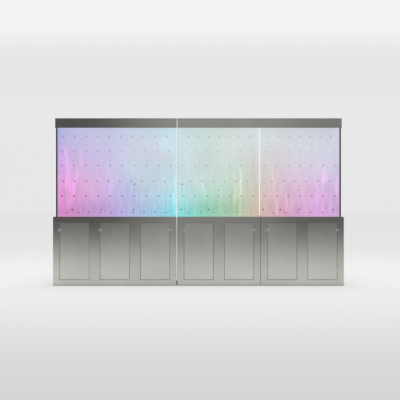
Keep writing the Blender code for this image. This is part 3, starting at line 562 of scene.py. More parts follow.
class BubbleStreams(Growth):
    """Geometry Nodes that fill a row of rising streams with bubbles, and keep them between two walls."""

    name = "bubble_streams"
    inputs = (("Made", "Geometry"), ("Count", "Int"), ("Streams", "Int"), ("Foot", "Vector"),
              *((name, "Float") for name in ("Pitch", "Rise", "Lean", "Spread", "Depth", "Sway", "Wave",
                                             "Left", "Width", "Smallest", "Largest")), ("Seed", "Int"))
    # Each stream starts at this share of its spread, and there are far more small bubbles than large ones.
    foot_share = 0.2
    size_power = 3.0

    def copies(self, tree: Tree, given: Any) -> Any:
        """Scatter the bubbles, and join them to what the nodes got.

        Args:
            tree: the node tree that gets the nodes.
            given: the outputs with the named inputs.

        Returns:
            The output with the bubbles.
        """
        draws = []
        for shift, low in enumerate((0.0, -1.0, 0.0, -1.0, 0.0)):
            seed = add_node(tree, "ADD", (given["Seed"], float(shift)))
            draws.append(add_node(tree, "FunctionNodeRandomValue", {2: low, 3: 1.0, "Seed": seed}, 1))
        climbed, aside, aside_share, behind, size = draws
        foot = add_node(tree, "SPLIT", [given["Foot"]]).node.outputs
        up = add_node(tree, "MULTIPLY", (climbed, given["Rise"]))
        level = add_node(tree, "ADD", (foot["Z"], up))
        swing = add_node(tree, "SINE", [add_node(tree, "MULTIPLY", (level, given["Wave"]))])
        opened = add_node(tree, "MULTIPLY_ADD", (climbed, 1 - self.foot_share, self.foot_share))
        off = add_node(tree, "MULTIPLY", (aside, aside_share))
        spread = add_node(tree, "MULTIPLY", (opened, given["Spread"]))
        stream = add_node(tree, "MODULO", (add_node(tree, "GeometryNodeInputIndex"), given["Streams"]))
        across = foot["X"]
        for amount, share in ((stream, given["Pitch"]), (up, given["Lean"]), (swing, given["Sway"]),
                              (off, spread)):
            across = add_node(tree, "MULTIPLY_ADD", (amount, share, across))
        from_wall = add_node(tree, "SUBTRACT", (across, given["Left"]))
        inside = add_node(tree, "PINGPONG", (from_wall, given["Width"]))
        across = add_node(tree, "ADD", (inside, given["Left"]))
        away = add_node(tree, "MULTIPLY", (behind, opened))
        back = add_node(tree, "MULTIPLY_ADD", (away, given["Depth"], foot["Y"]))
        place = add_node(tree, "JOIN", (across, back, level))
        line = add_node(tree, "GeometryNodePoints", {"Count": given["Count"]})
        spots = add_node(tree, "GeometryNodeSetPosition", {"Geometry": line, "Position": place})
        ball = add_node(tree, "GeometryNodeMeshIcoSphere", {"Radius": 1.0, "Subdivisions": 1})
        small = add_node(tree, "POWER", (size, self.size_power))
        radius = add_node(tree, "RANGE", {0: small, 3: given["Smallest"], 4: given["Largest"]})
        copies = add_node(tree, "GeometryNodeInstanceOnPoints",
                          {"Points": spots, "Instance": ball, "Scale": radius})
        return add_node(tree, "GeometryNodeJoinGeometry", [[given["Made"], copies]])


class Grain(Enum):
    """Which way the brushing lines of a steel sheet run, as the size of a line in mm along each axis."""

    ALONG = (240.0, 2.4, 2.4)
    UPRIGHT = (2.4, 2.4, 240.0)


@dataclass(frozen=True)
class BrushedSteel(Finish):
    """Brushed stainless sheet: fine one-way lines that blur what it mirrors, with faint hand marks.

    The real lines are about 0.1 mm wide. They are drawn at 2.4 mm, the finest that the render shows.
    """

    tint: str = "C5C4BE"
    shade: str = "BBBAB4"
    roughness: float = 0.17
    grain: Grain = Grain.ALONG
    line_depth_mm: float = 0.012
    cloud_mm: float = 420.0
    dish: float = 0.0
    dish_level: float = 0.4
    # Past these places a face is outside and brushed: nearer, further back, out to a side, higher.
    outside: tuple[float, float, float, float] = (-0.1588, 0.1592, 1.7492, 0.8292)
    # Nearer than this, it is a hinge leaf or knuckle: paler, satin plated.
    leaf_before: float = -0.1602
    leaf_tone: str = "CACBCB"
    leaf_roughness: float = 0.26
    # Inside, the sheet keeps the plain finish of the mill.
    mill_roughness: float = 0.42
    mill_tone: str = "A3A29D"

    def brushed(self, tree: Tree) -> Any:
        """Tell the brushed outside from the plain inside.

        Args:
            tree: the material's node tree.

        Returns:
            The output that is 1 on the outside and 0 inside.
        """
        _, across, along, up = located(tree)
        near, back, side, top = self.outside
        mask = add_node(tree, "LESS_THAN", (along, near))
        aside = add_node(tree, "ABSOLUTE", [across])
        for measure_and_limit in ((along, back), (aside, side), (up, top)):
            mask = add_node(tree, "MAXIMUM", (mask, add_node(tree, "GREATER_THAN", measure_and_limit)))
        return mask

    def wire(self, tree: Tree, surface: Node) -> None:
        """Add brushing lines, clouds of hand marks and, on a door, its shallow dish.

        Args:
            tree: the material's node tree.
            surface: its shader.
        """
        place, _, along, up = located(tree)
        lines = pattern(tree, place, self.grain.value, Detail=3.0)
        clouds = pattern(tree, place, self.cloud_mm, Detail=4.0, Roughness=0.6)
        brushed = self.brushed(tree)
        leaf = add_node(tree, "LESS_THAN", (along, self.leaf_before))
        tone = graded(tree, clouds, ((PATTERN_LOW, self.shade), (PATTERN_HIGH, self.tint)))
        tone = add_node(tree, "MIX_COLOUR", {0: brushed, 6: linear(self.mill_tone), 7: tone})
        tone = add_node(tree, "MIX_COLOUR", {0: leaf, 6: tone, 7: linear(self.leaf_tone)})
        blur = uneven(tree, lines, self.roughness, ROUGHNESS_SPREAD)
        blur = add_node(tree, "MIX", {0: brushed, 2: self.mill_roughness, 3: blur})
        blur = add_node(tree, "MIX", {0: leaf, 2: blur, 3: self.leaf_roughness})
        depth = self.line_depth_mm * MM
        normal = add_node(tree, "ShaderNodeBump", {"Height": lines, "Distance": depth, "Strength": 1.0})
        if self.dish:
            above = add_node(tree, "MAXIMUM", (add_node(tree, "SUBTRACT", (up, self.dish_level)), 0.0))
            bowl = add_node(tree, "POWER", (above, 2.0))
            normal = add_node(tree, "ShaderNodeBump",
                              {"Height": bowl, "Distance": self.dish, "Strength": 1.0, "Normal": normal})
        feed(tree, surface, {"Base Color": tone, "Roughness": blur, "Normal": normal, "Metallic": 1.0})


@dataclass(frozen=True)
class Pool:
    """A soft round patch in the water where the light is stronger, weaker or tinted."""

    x: float
    z: float
    half_width: float
    half_height: float
    tint: Place


POOLS = tuple(Pool(*row) for row in (
    (-1.36, 1.24, 0.54, 0.32, (1.10, 0.97, 0.94)),
    (-1.27, 0.90, 0.75, 0.20, (0.91, 0.93, 0.92)),
    (0.47, 0.94, 0.20, 0.18, (0.87, 0.94, 0.90)),
    (-0.50, 1.63, 0.46, 0.36, (1.10, 0.96, 0.98)),
    (-0.76, 1.15, 0.50, 0.26, (0.93, 0.92, 0.95)),
    (0.17, 1.50, 0.30, 0.28, (0.96, 0.94, 0.93)),
    (1.56, 1.18, 0.42, 0.42, (0.97, 0.91, 0.93)),
    (-1.15, 1.68, 0.70, 0.50, (1.0, 0.93, 0.97)),
    (-0.21, 1.20, 0.20, 0.26, (0.92, 0.98, 0.98)),
    (1.74, 1.35, 0.09, 0.80, (0.96, 0.95, 0.95)),
))


@dataclass(frozen=True)
class TankLight:
    """Coloured lamp light that climbs through the bubbling water and fades into a pale mist."""

    floor: float = 0.861
    height: float = 1.084
    lamps: Stops = ((-1.72, "CF87BD"), (-1.45, "C68EC2"), (-1.09, "BCA0D4"), (-0.72, "A6B3D7"),
                    (-0.35, "85C6D4"), (-0.20, "82CCCC"), (0.14, "88C0A9"), (0.42, "A8BEA4"),
                    (0.51, "B4BEA6"), (0.78, "C6A9A2"), (1.12, "C998B8"), (1.49, "D2A0D4"),
                    (1.70, "C69ECE"))
    mist: Stops = ((-1.735, "A8AAD4"), (-1.69, "B1B2D8"), (-1.62, "B8B6DA"), (-1.45, "C0BDDD"),
                   (-1.09, "C1C3DC"), (-0.72, "C2CCDB"), (-0.35, "BED2DC"), (-0.2, "C7D5DA"),
                   (0.14, "C5D0CE"), (0.5, "CCD1D2"), (0.78, "CDD1D4"), (1.12, "CBCBD2"), (1.70, "C7C8D7"))
    # How high the lamp colour climbs before it has all turned to mist, as a share of the water's height.
    reach_shares: Stops = ((-1.72, 0.95), (-1.43, 0.95), (-1.1, 0.8), (-0.9, 0.6), (-0.7, 0.36), (-0.3, 0.34),
                           (0.0, 0.38), (0.3, 0.55), (0.5, 0.85), (1.0, 0.85), (1.3, 0.75), (1.7, 0.7))
    fade: Stops = ((0.0, 0.02), (0.1, 0.06), (0.3, 0.24), (0.5, 0.5), (0.8, 0.8), (1.0, 1.0))
    # The glow's strength by height in metres: strongest a hand's width over the lamps.
    lift: Stops = ((0.861, 0.90), (0.95, 0.93), (1.05, 0.98), (1.25, 1.0), (1.5, 0.97), (1.9, 0.92))
    strongest: float = 1.07
    # How much dimmer the glow is where the bubbles thin out, along the wall and by height.
    thin_across: Stops = ((-1.72, 0.0), (-1.05, 0.0), (-0.65, 0.12), (-0.25, 0.13), (0.05, 0.08), (0.2, 0.04),
                          (0.45, 0.0), (0.68, 0.07), (0.85, 0.03), (1.05, 0.0), (1.72, 0.0))
    thin_up: Stops = ((0.861, 0.0), (1.08, 0.2), (1.24, 0.9), (1.375, 1.0), (1.51, 0.75), (1.645, 0.4),
                      (1.78, 0.15), (1.95, 0.0))

    def tone(self, tree: Tree) -> Any:
        """Add the glow of the lit water.

        Args:
            tree: the node tree that gets the nodes.

        Returns:
            The output with the water's colour at each place.
        """
        _, across, _, up = located(tree)
        climb = add_node(tree, "SUBTRACT", (up, self.floor))
        reach = add_node(tree, "MULTIPLY", (graded(tree, across, self.reach_shares), self.height))
        share = graded(tree, add_node(tree, "DIVIDE", (climb, reach)), self.fade)
        tone = add_node(tree, "MIX_COLOUR", {0: share, 6: graded(tree, across, self.lamps),
                                             7: graded(tree, across, self.mist)})
        thinned = (graded(tree, across, self.thin_across), graded(tree, up, self.thin_up))
        kept = add_node(tree, "SUBTRACT", (1.0, add_node(tree, "MULTIPLY", thinned)))
        lift = add_node(tree, "MULTIPLY", (graded(tree, up, self.lift), self.strongest))
        lift = add_node(tree, "MULTIPLY", (lift, kept))
        tone = add_node(tree, "SCALE", {0: tone, "Scale": lift})
        for pool in POOLS:
            sides = ((across, pool.x, pool.half_width), (up, pool.z, pool.half_height))
            offs = [add_node(tree, "RANGE", (measure, middle - half, middle + half, -1.0), clamp=False)
                    for measure, middle, half in sides]
            away = add_node(tree, "LENGTH", [add_node(tree, "JOIN", offs)])
            mask = add_node(tree, "SOFT_RANGE", {0: away, 3: 1.0, 4: 0.0})
            gain = add_node(tree, "ShaderNodeMix", {0: mask, 4: (1.0, 1.0, 1.0), 5: pool.tint}, 1,
                            data_type="VECTOR")
            tone = add_node(tree, "TINT", (tone, gain))
        return tone


WATER_LIGHT = TankLight()


@dataclass(frozen=True)
class Plume:
    """A curtain of bubbles that carries the lamp colour high up.

    Its foot stands at x and low, and its head leans over to x + lean times its height.
    """

    x: float
    low: float
    high: float
    lean: float
    strength: float
    width: float


PLUMES = tuple(Plume(*row) for row in (
    (-1.590, 1.12, 1.72, -0.130, 0.95, 0.062),
    (-1.612, 0.95, 1.44, 0.250, 0.80, 0.055),
    (-1.655, 1.22, 1.52, -0.080, 0.50, 0.040),
    (-1.452, 1.42, 1.70, 0.000, 0.55, 0.036),
    (-1.725, 0.95, 1.66, 0.000, 0.60, 0.055),
    (-1.075, 1.12, 1.54, -0.120, 0.35, 0.050),
    (-1.380, 1.15, 1.26, 0.000, 0.35, 0.045),
    (-1.205, 0.86, 1.12, -0.380, 0.45, 0.042),
    (-0.985, 0.82, 1.05, 0.000, 0.50, 0.030),
    (-0.935, 0.82, 1.03, 0.000, 0.45, 0.030),
    (-0.285, 0.82, 1.34, 0.000, 0.60, 0.055),
    (-0.390, 1.62, 1.94, 0.000, 0.30, 0.200),
    (0.095, 1.02, 1.38, -0.250, 0.52, 0.026),
    (0.522, 0.82, 1.46, 0.000, 0.75, 0.022),
    (0.449, 0.88, 1.30, 0.000, 0.65, 0.018),
    (0.990, 0.86, 1.42, -0.150, 0.66, 0.038),
    (1.105, 0.88, 1.20, -0.060, 0.60, 0.030),
    (1.307, 0.92, 1.14, 0.000, 0.40, 0.026),
    (1.467, 0.95, 1.26, 0.000, 0.55, 0.034),
    (1.560, 1.24, 1.46, 0.000, 0.85, 0.048),
    (1.585, 0.84, 1.06, -0.430, 0.50, 0.038),
    (1.718, 1.10, 1.38, 0.000, 0.90, 0.044),
))


@dataclass(frozen=True)
class LitFinish(Finish):
    """Clear or frosted plastic whose lamp light is painted on: it glows in the light's colour, and a share of
    that colour is painted into its own colour as well.
    """

    glow: float = 1.0
    body: float = 0.3
    roughness: float = 0.12
    shine: float = 0.5
    index: float = ACRYLIC_IOR

    def light(self, tree: Tree, surface: Node, glow: Any, tone: Any = None) -> None:
        """Paint the lamp light on the surface: as glow, and as a share of its base colour.

        Args:
            tree: the material's node tree.
            surface: its shader.
            glow: the output with the glow's colour.
            tone: the output with the unlit colour, where it isn't the same.
        """
        # Painted light: a share of the glow's colour is painted into the base colour too.
        body = add_node(tree, "SCALE", {0: glow if tone is None else tone, "Scale": self.body})
        feed(tree, surface, {"Base Color": body, "Emission Color": glow, "Emission Strength": self.glow,
                             "Roughness": self.roughness, "Specular IOR Level": self.shine,
                             "IOR": self.index})


@dataclass(frozen=True)
class LitAcrylic(LitFinish):
    """Frosted acrylic sheet behind the water: it takes the lamps' colours and glows evenly, as painted light.

    The light that the curtains of bubbles scatter is painted on it as soft wavy streaks, and that of fine
    rising bubbles as upright flecks.
    """

    glow: float = 1.02
    body: float = 0.35
    roughness: float = 0.45
    plume_gain: float = 0.36
    plume_purity: float = 1.55
    # How softly a curtain starts, how far under its top it begins to fade, and how far over it is gone.
    foot_fade: float = 0.06
    head_fade: tuple[float, float] = (0.16, 0.06)
    # Threads of bubbles in a curtain, as the width, depth and length of one, and how far they show by height.
    thread_mm: Place = (30.0, 30.0, 210.0)
    thread_depth: Stops = ((0.86, 0.12), (1.05, 0.09), (1.35, 0.045), (1.6, 0.02), (1.95, 0.02))
    # Threads break up a curtain: between these two values of their pattern, its strength has this range.
    thread_range: tuple[float, float] = (0.35, 0.62)
    thread_gain: tuple[float, float] = (0.6, 1.25)
    # Slow currents push the bubbles sideways: the size of one, and how far it pushes.
    current_mm: Place = (500.0, 500.0, 170.0)
    drift: float = 0.018
    # Flecks and clouds of bubbles: the size of one, and how much lighter or darker the sheet's painted glow
    # is there.
    mottles: tuple[tuple[Place, float], ...] = (((14.0, 14.0, 24.0), 0.065), ((260.0, 260.0, 700.0), 0.03))
    mottle_low: float = 0.25

    def swayed(self, tree: Tree, across: Any, up: Any) -> Any:
        """Push the place along the wall sideways, as the slow currents do.

        Args:
            tree: the material's node tree.
            across: the place along the wall.
            up: the height.

        Returns:
            The output with the pushed place.
        """
        eddies = pattern(tree, add_node(tree, "JOIN", {"X": across, "Z": up}), self.current_mm, Detail=3.0,
                         Roughness=0.62)
        push = add_node(tree, "RANGE", (eddies, PATTERN_LOW, PATTERN_HIGH, -self.drift, self.drift))
        return add_node(tree, "ADD", (across, push))

    def streaks(self, tree: Tree, swayed: Any, up: Any, threads: Any) -> Any:
        """Add the mask of the painted light of the bubble curtains.

        Args:
            tree: the material's node tree.
            swayed: the place along the wall, with the sway added.
            up: the height.
            threads: the pattern of bubble threads, about 0.5 on average.

        Returns:
            The mask's output.
        """
        total: Any = 0.0
        below, above = self.head_fade
        for plume in PLUMES:
            upright = add_node(tree, "MULTIPLY_ADD", (up, -plume.lean, swayed))
            off = add_node(tree, "SUBTRACT", (upright, plume.x - plume.lean * plume.low))
            away = add_node(tree, "ABSOLUTE", [off])
            core = add_node(tree, "SOFT_RANGE", (away, 0.0, plume.width, plume.strength, 0.0))
            foot = add_node(tree, "SOFT_RANGE", (up, plume.low - self.foot_fade, plume.low + self.foot_fade))
            head = add_node(tree, "SOFT_RANGE", (up, plume.high - below, plume.high + above, 1.0, 0.0))
            mask = add_node(tree, "MULTIPLY", (core, add_node(tree, "MULTIPLY", (foot, head))))
            total = add_node(tree, "MAXIMUM", (total, mask))
        broken = add_node(tree, "RANGE", (threads, *self.thread_range, *self.thread_gain))
        return add_node(tree, "MULTIPLY", (total, broken))

    def wire(self, tree: Tree, surface: Node) -> None:
        """Paint the lamp light on the sheet from below, and paint the light of the bubble curtains and
        flecks.

        Args:
            tree: the material's node tree.
            surface: its shader.
        """
        place, across, _, up = located(tree)
        swayed = self.swayed(tree, across, up)
        threads = pattern(tree, add_node(tree, "JOIN", {"X": swayed, "Z": up}), self.thread_mm, Detail=2.0)
        streaks = add_node(tree, "MULTIPLY", (self.streaks(tree, swayed, up, threads), self.plume_gain))
        lamp = graded(tree, across, WATER_LIGHT.lamps)
        pure = add_node(tree, "HUE", {"Saturation": self.plume_purity, "Color": lamp})
        water = WATER_LIGHT.tone(tree)
        tone = add_node(tree, "MIX_COLOUR", {0: streaks, 6: water, 7: pure}, blend_type="ADD")
        swell = add_node(tree, "RANGE", (threads, PATTERN_LOW, PATTERN_HIGH, -1.0, 1.0))
        factor = add_node(tree, "MULTIPLY_ADD", (swell, graded(tree, up, self.thread_depth), 1.0))
        tone = add_node(tree, "SCALE", {0: tone, "Scale": factor})
        for sizes_mm, share in self.mottles:
            tone = varied(tree, tone, pattern(tree, place, sizes_mm, Detail=3.0), share, self.mottle_low)
        self.light(tree, surface, tone)


@dataclass(frozen=True)
class LitFitting(LitFinish):
    """Clear acrylic or nylon that stands in the lit water, with a darker, deeper water colour painted on it
    as glow.
    """

    glow: float = 0.6
    roughness: float = 0.25
    value_stops: Stops = ((0.86, 0.62), (1.2, 0.74), (1.9, 0.86))
    # The saturation by height, as a share of the purest.
    saturation_stops: Stops = ((0.86, 0.95), (1.2, 0.72), (1.9, 0.6))
    purest: float = 2.0
    # Only what lies in front of this place along Y is deep; the rest has nearly the water's own tone.
    deep_before: float = 1.0
    plain_share: float = 0.95
    mottle_mm: float = 5.556
    mottle_share: float = 0.06

    def wire(self, tree: Tree, surface: Node) -> None:
        """Deepen the water's colour, most near the lamps.

        Args:
            tree: the material's node tree.
            surface: its shader.
        """
        place, _, along, up = located(tree)
        water = WATER_LIGHT.tone(tree)
        saturation = add_node(tree, "MULTIPLY", (graded(tree, up, self.saturation_stops), self.purest))
        deep = add_node(tree, "HUE", {"Saturation": saturation, "Value": graded(tree, up, self.value_stops),
                                      "Color": water})
        front = add_node(tree, "LESS_THAN", (along, self.deep_before))
        plain = add_node(tree, "SCALE", {0: water, "Scale": self.plain_share})
        tone = add_node(tree, "MIX_COLOUR", {0: front, 6: plain, 7: deep})
        noise = pattern(tree, place, self.mottle_mm, Detail=2.0)
        self.light(tree, surface, varied(tree, tone, noise, self.mottle_share))


@dataclass(frozen=True)
class LitBubble(LitFinish):
    """Air bubble in lit water, its light painted on: a glow brighter than the water's, with painted shade
    towards its rim.
    """

    glow: float = 0.7
    roughness: float = 0.1
    index: float = WATER_IOR
    gain: float = 1.2
    rim_gain: float = 0.864
    rim_start: float = 0.3
    rim_blend: float = 0.35

    def wire(self, tree: Tree, surface: Node) -> None:
        """Paint the bubble's glow brighter than the water's colour, and paint shade towards the rim.

        Args:
            tree: the material's node tree.
            surface: its shader.
        """
        rim = add_node(tree, "ShaderNodeLayerWeight", {"Blend": self.rim_blend}, "Facing")
        factor = add_node(tree, "RANGE", (rim, self.rim_start, 1.0, self.gain, self.rim_gain))
        self.light(tree, surface, add_node(tree, "SCALE", {0: WATER_LIGHT.tone(tree), "Scale": factor}))


@dataclass(frozen=True)
class EdgeLitBars(LitFinish):
    """Bars of clear acrylic round the water. Lamp light leaves their edges: white at the joints between
    tanks, the water's own colour at the two ends of the wall and along the bottom."""

    glow: float = 0.85
    # Each joint that shines: its place along X, half its width and its colour.
    joints: tuple[tuple[float, float, str], ...] = ((-0.2693, 0.0045, "DCE6E9"), (0.751, 0.0066, "EFE8EB"))
    bottom_top: float = 0.8505
    bottom_gain: float = 1.2
    end_gain: float = 0.9
    mottle_mm: float = 16.67
    mottle_share: float = 0.03

    def wire(self, tree: Tree, surface: Node) -> None:
        """Choose white or the water's colour by place.

        Args:
            tree: the material's node tree.
            surface: its shader.
        """
        place, across, _, up = located(tree)
        high = add_node(tree, "GREATER_THAN", (up, self.bottom_top))
        gain = add_node(tree, "RANGE", {0: high, 3: self.bottom_gain, 4: self.end_gain})
        tone = add_node(tree, "SCALE", {0: WATER_LIGHT.tone(tree), "Scale": gain})
        for middle, half, white in self.joints:
            joint = add_node(tree, "MULTIPLY", (add_node(tree, "COMPARE", (across, middle, half)), high))
            tone = add_node(tree, "MIX_COLOUR", {0: joint, 6: tone, 7: linear(white)})
        noise = pattern(tree, place, self.mottle_mm, Detail=2.0)
        self.light(tree, surface, varied(tree, tone, noise, self.mottle_share))


@dataclass(frozen=True)
class OpalAcrylic(LitFinish):
    """Opal acrylic strip: milky, evenly white, lit from the tanks beside it, with that light painted on as
    glow and painted shade where it doesn't reach.
    """

    body: float = 0.5
    roughness: float = 0.3
    white: str = "EFF3EF"
    # Painted shade: the grey for the side of the strip that the light doesn't reach.
    painted_shade_grey: str = "A9ABA8"
    # Light reaches only the side next to the left tank, where the strip keeps its white; the other side is
    # painted grey as shade. The glow fades towards the floor and in the cap.
    core_end: float = -0.2588
    glow_stops: Stops = ((0.06, 0.0), (0.082, 0.62), (0.3, 0.66), (0.62, 0.5), (0.80, 0.62), (0.84, 0.88),
                         (1.90, 0.88), (1.93, 0.76), (2.03, 0.6))
    cloud_mm: float = 125.0
    cloud_share: float = 0.02

    def wire(self, tree: Tree, surface: Node) -> None:
        """Give the strip its milky white, painted grey as shade on its unlit side, with faint flow clouds of
        the cast sheet, and paint its glow.

        Args:
            tree: the material's node tree.
            surface: its shader.
        """
        place, across, _, up = located(tree)
        core = add_node(tree, "LESS_THAN", (across, self.core_end))
        # Painted shade: grey past the lit side.
        tone = add_node(tree, "MIX_COLOUR", {0: core, 6: linear(self.painted_shade_grey), 7: linear(self.white)})
        tone = varied(tree, tone, pattern(tree, place, self.cloud_mm, Detail=2.0), self.cloud_share)
        glow = add_node(tree, "SCALE", {0: tone, "Scale": graded(tree, up, self.glow_stops)})
        self.light(tree, surface, glow, tone)


@dataclass(frozen=True)
class ClearAcrylic(Finish):
    """Cast clear acrylic sheet: it lets the water show, mirrors a little, and its edges carry light."""

    tint: str = "FBFDFC"
    polish: float = 0.03
    # The cast sheet is never quite flat.
    ripple_mm: float = 333.3
    ripple_depth_mm: float = 0.4
    # A face is a sawn edge where it turns from the front and the back by more than this share.
    sawn_share: float = 0.5
    sawn_glow: float = 0.9

    def wire(self, tree: Tree, surface: Node) -> None:
        """Mix a clear face with a polished one, and light the sawn edges.

        Args:
            tree: the material's node tree.
            surface: its shader, which is taken out.
        """
        ripple = pattern(tree, add_node(tree, "OBJECT_PLACE"), self.ripple_mm, Detail=1.0)
        normal = add_node(tree, "ShaderNodeBump",
                          {"Height": ripple, "Distance": self.ripple_depth_mm * MM, "Strength": 1.0})
        inside = add_node(tree, "ShaderNodeNewGeometry", out="Backfacing")
        bend = add_node(tree, "RANGE", {0: inside, 3: ACRYLIC_IOR, 4: AIR_IOR})
        mirror = add_node(tree, "ShaderNodeFresnel", {"IOR": bend, "Normal": normal})
        clear = add_node(tree, "ShaderNodeBsdfTransparent", {"Color": linear(self.tint)})
        gloss = add_node(tree, "ShaderNodeBsdfAnisotropic",
                         {"Color": linear(WHITE), "Roughness": self.polish, "Normal": normal})
        face = add_node(tree, "ShaderNodeMixShader", (mirror, clear, gloss))
        facing = add_node(tree, "SPLIT", [add_node(tree, "ShaderNodeNewGeometry", out="True Normal")], "Y")
        sawn = add_node(tree, "LESS_THAN", (add_node(tree, "ABSOLUTE", [facing]), self.sawn_share))
        glow = {"Color": WATER_LIGHT.tone(tree), "Strength": self.sawn_glow}
        both = add_node(tree, "ShaderNodeMixShader", (sawn, face, add_node(tree, "ShaderNodeEmission", glow)))
        feed(tree, tree.nodes["Material Output"], {"Surface": both})
        tree.nodes.remove(surface)


@dataclass(frozen=True)
class Moulded(Finish):
    """A moulded, cast or plated surface: its own colour, a fine texture and slight wear in tone."""

    tint: str = "808080"
    worn: str = "909090"
    roughness: float = 0.5
    metallic: float = 0.0
    texture_mm: float = 1.2
    depth_mm: float = 0.05
    coat: float = 0.0
    wear_mm: float = 71.43
    wear_range: tuple[float, float] = (0.35, 0.75)

    def marked(self, tree: Tree, tone: Any) -> Any:
        """Return the colour with the finish's own marks on it; a plain finish has none."""
        return tone

    def wire(self, tree: Tree, surface: Node) -> None:
        """Add the texture of the mould and the change of tone.

        Args:
            tree: the material's node tree.
            surface: its shader.
        """
        place = add_node(tree, "OBJECT_PLACE")
        fine = pattern(tree, place, self.texture_mm, Detail=3.0)
        broad = pattern(tree, place, self.wear_mm, Detail=3.0)
        tone = self.marked(tree, graded(tree, broad, tuple(zip(self.wear_range, (self.tint, self.worn)))))
        depth = self.depth_mm * MM
        normal = add_node(tree, "ShaderNodeBump", {"Height": fine, "Distance": depth, "Strength": 1.0})
        blur = uneven(tree, fine, self.roughness, ROUGHNESS_SPREAD)
        feed(tree, surface, {"Base Color": tone, "Roughness": blur, "Normal": normal,
                             "Metallic": self.metallic, "Coat Weight": self.coat})


@dataclass(frozen=True)
class RockerPlastic(Moulded):
    """Moulded black rocker with two white printed marks: a bar for on and a ring for off."""

    middle: tuple[float, float] = (-1.314, 0.330)
    mark_offset: float = 0.0052
    bar_half_length: float = 0.0019
    ring_radius: float = 0.0015
    line_half_width: float = 0.0003
    ink: str = "E8E8E4"

    def marked(self, tree: Tree, tone: Any) -> Any:
        """Print the bar above the middle and the ring below it.

        Args:
            tree: the material's node tree.
            tone: the output with the plain colour.

        Returns:
            The output with the printed colour.
        """
        _, across, _, up = located(tree)
        x, z = self.middle
        sides = [add_node(tree, "COMPARE", side) for side in (
            (across, x, self.line_half_width), (up, z + self.mark_offset, self.bar_half_length))]
        flat = add_node(tree, "JOIN", {"X": across, "Z": up})
        away = add_node(tree, "DISTANCE", (flat, (x, 0.0, z - self.mark_offset)))
        ring = add_node(tree, "COMPARE", (away, self.ring_radius, self.line_half_width))
        mark = add_node(tree, "MAXIMUM", (add_node(tree, "MULTIPLY", sides), ring))
        return add_node(tree, "MIX_COLOUR", {0: mark, 6: tone, 7: linear(self.ink)})


@dataclass(frozen=True)
class FootedEnamel(Moulded):
    """Grey enamel on the pump's casting, over black rubber feet."""

    foot_top: float = 0.0134
    rubber: str = "161617"

    def marked(self, tree: Tree, tone: Any) -> Any:
        """Turn the feet to rubber.

        Args:
            tree: the material's node tree.
            tone: the output with the enamel's colour.

        Returns:
            The output with both colours.
        """
        foot = add_node(tree, "LESS_THAN", (located(tree)[-1], self.foot_top))
        return add_node(tree, "MIX_COLOUR", {0: foot, 6: tone, 7: linear(self.rubber)})


@dataclass(frozen=True)
class LampRail(Moulded):
    """Anodised lamp rail with a lit lens along its top, brighter over each lamp."""

    lens_bottom: float = 0.8268
    lamp_pitch_mm: float = 16.0
    dimmest: float = 0.7
    brightest: float = 1.2

    def marked(self, tree: Tree, tone: Any) -> Any:
        """Light the lens in the lamps' own colours.

        Args:
            tree: the material's node tree.
            tone: the output with the rail's colour.

        Returns:
            The output with the colours of the rail and of the lens.
        """
        _, across, _, up = located(tree)
        lens = add_node(tree, "GREATER_THAN", (up, self.lens_bottom))
        phase = add_node(tree, "MULTIPLY", (across, 2 * math.pi / (self.lamp_pitch_mm * MM)))
        wave = add_node(tree, "SINE", [phase])
        bright = add_node(tree, "RANGE", (wave, -1.0, 1.0, self.dimmest, self.brightest))
        lamp = graded(tree, across, WATER_LIGHT.lamps)
        glow = add_node(tree, "SCALE", {0: lamp, "Scale": add_node(tree, "MULTIPLY", (lens, bright))})
        feed(tree, tree.nodes["Principled BSDF"], {"Emission Color": glow, "Emission Strength": 1.0})
        return add_node(tree, "MIX_COLOUR", {0: lens, 6: tone, 7: lamp})


SHEET_STEEL = BrushedSteel("stainless_brushed_along")
# The doors' steel is painted a little lighter than the other sheets: painted light, standing in for their
# brighter reflection.
DOOR_STEEL = BrushedSteel("stainless_brushed_upright", "CAC9C4", "C0BFB9", grain=Grain.UPRIGHT, dish=0.021)
# Painted shade: the end posts' steel is painted dark for the shade in their channels.
SHADED_STEEL = BrushedSteel("stainless_darkened", "4A4A48", "3E3E3D", 0.3, Grain.UPRIGHT)
FROSTED = LitAcrylic("acrylic_frosted")
PIN_ACRYLIC = LitFitting(
    "acrylic_pin", glow=1.02, body=0.35, roughness=0.6, shine=0.1, deep_before=-0.0368, plain_share=0.98,
    value_stops=((0.86, 0.88), (1.05, 0.80), (1.2, 0.82), (1.45, 0.85), (1.65, 0.90), (1.8, 0.83)),
    saturation_stops=((0.86, 0.66), (1.0, 0.72), (1.2, 0.72), (1.9, 0.68)))
LIT_NYLON = LitFitting("nylon_air_line", roughness=0.35, value_stops=((0.8, 0.7), (2.0, 0.8)))
# Small dark plastic studs in the water.
STUD_NYLON = LitFitting("nylon_stud", roughness=0.3, value_stops=((0.86, 0.22), (1.3, 0.34)),
                        saturation_stops=((0.86, 0.9), (1.9, 0.8)))
BUBBLE_AIR = LitBubble("air_bubble")
BAR_ACRYLIC = EdgeLitBars("acrylic_edge_lit")
OPAL = OpalAcrylic("acrylic_opal")
CLEAR = ClearAcrylic("acrylic_cast_clear")
# The rest say their colour, worn colour, roughness, metal share, texture and its depth in mm, and coat.
# Extruded aluminium with a satin anodised skin: pale, even and slightly dull.
ANODISED = LampRail("aluminium_anodised", "B9BBBD", "C6C8CA", 0.38, 1.0, 0.8, 0.01)
# Die-cast aluminium pump body under grey enamel: a low orange-peel sheen.
ENAMEL = FootedEnamel("enamel_on_casting", "6E757A", "7B8287", 0.42, 0.0, 2.2, 0.06, 0.3)
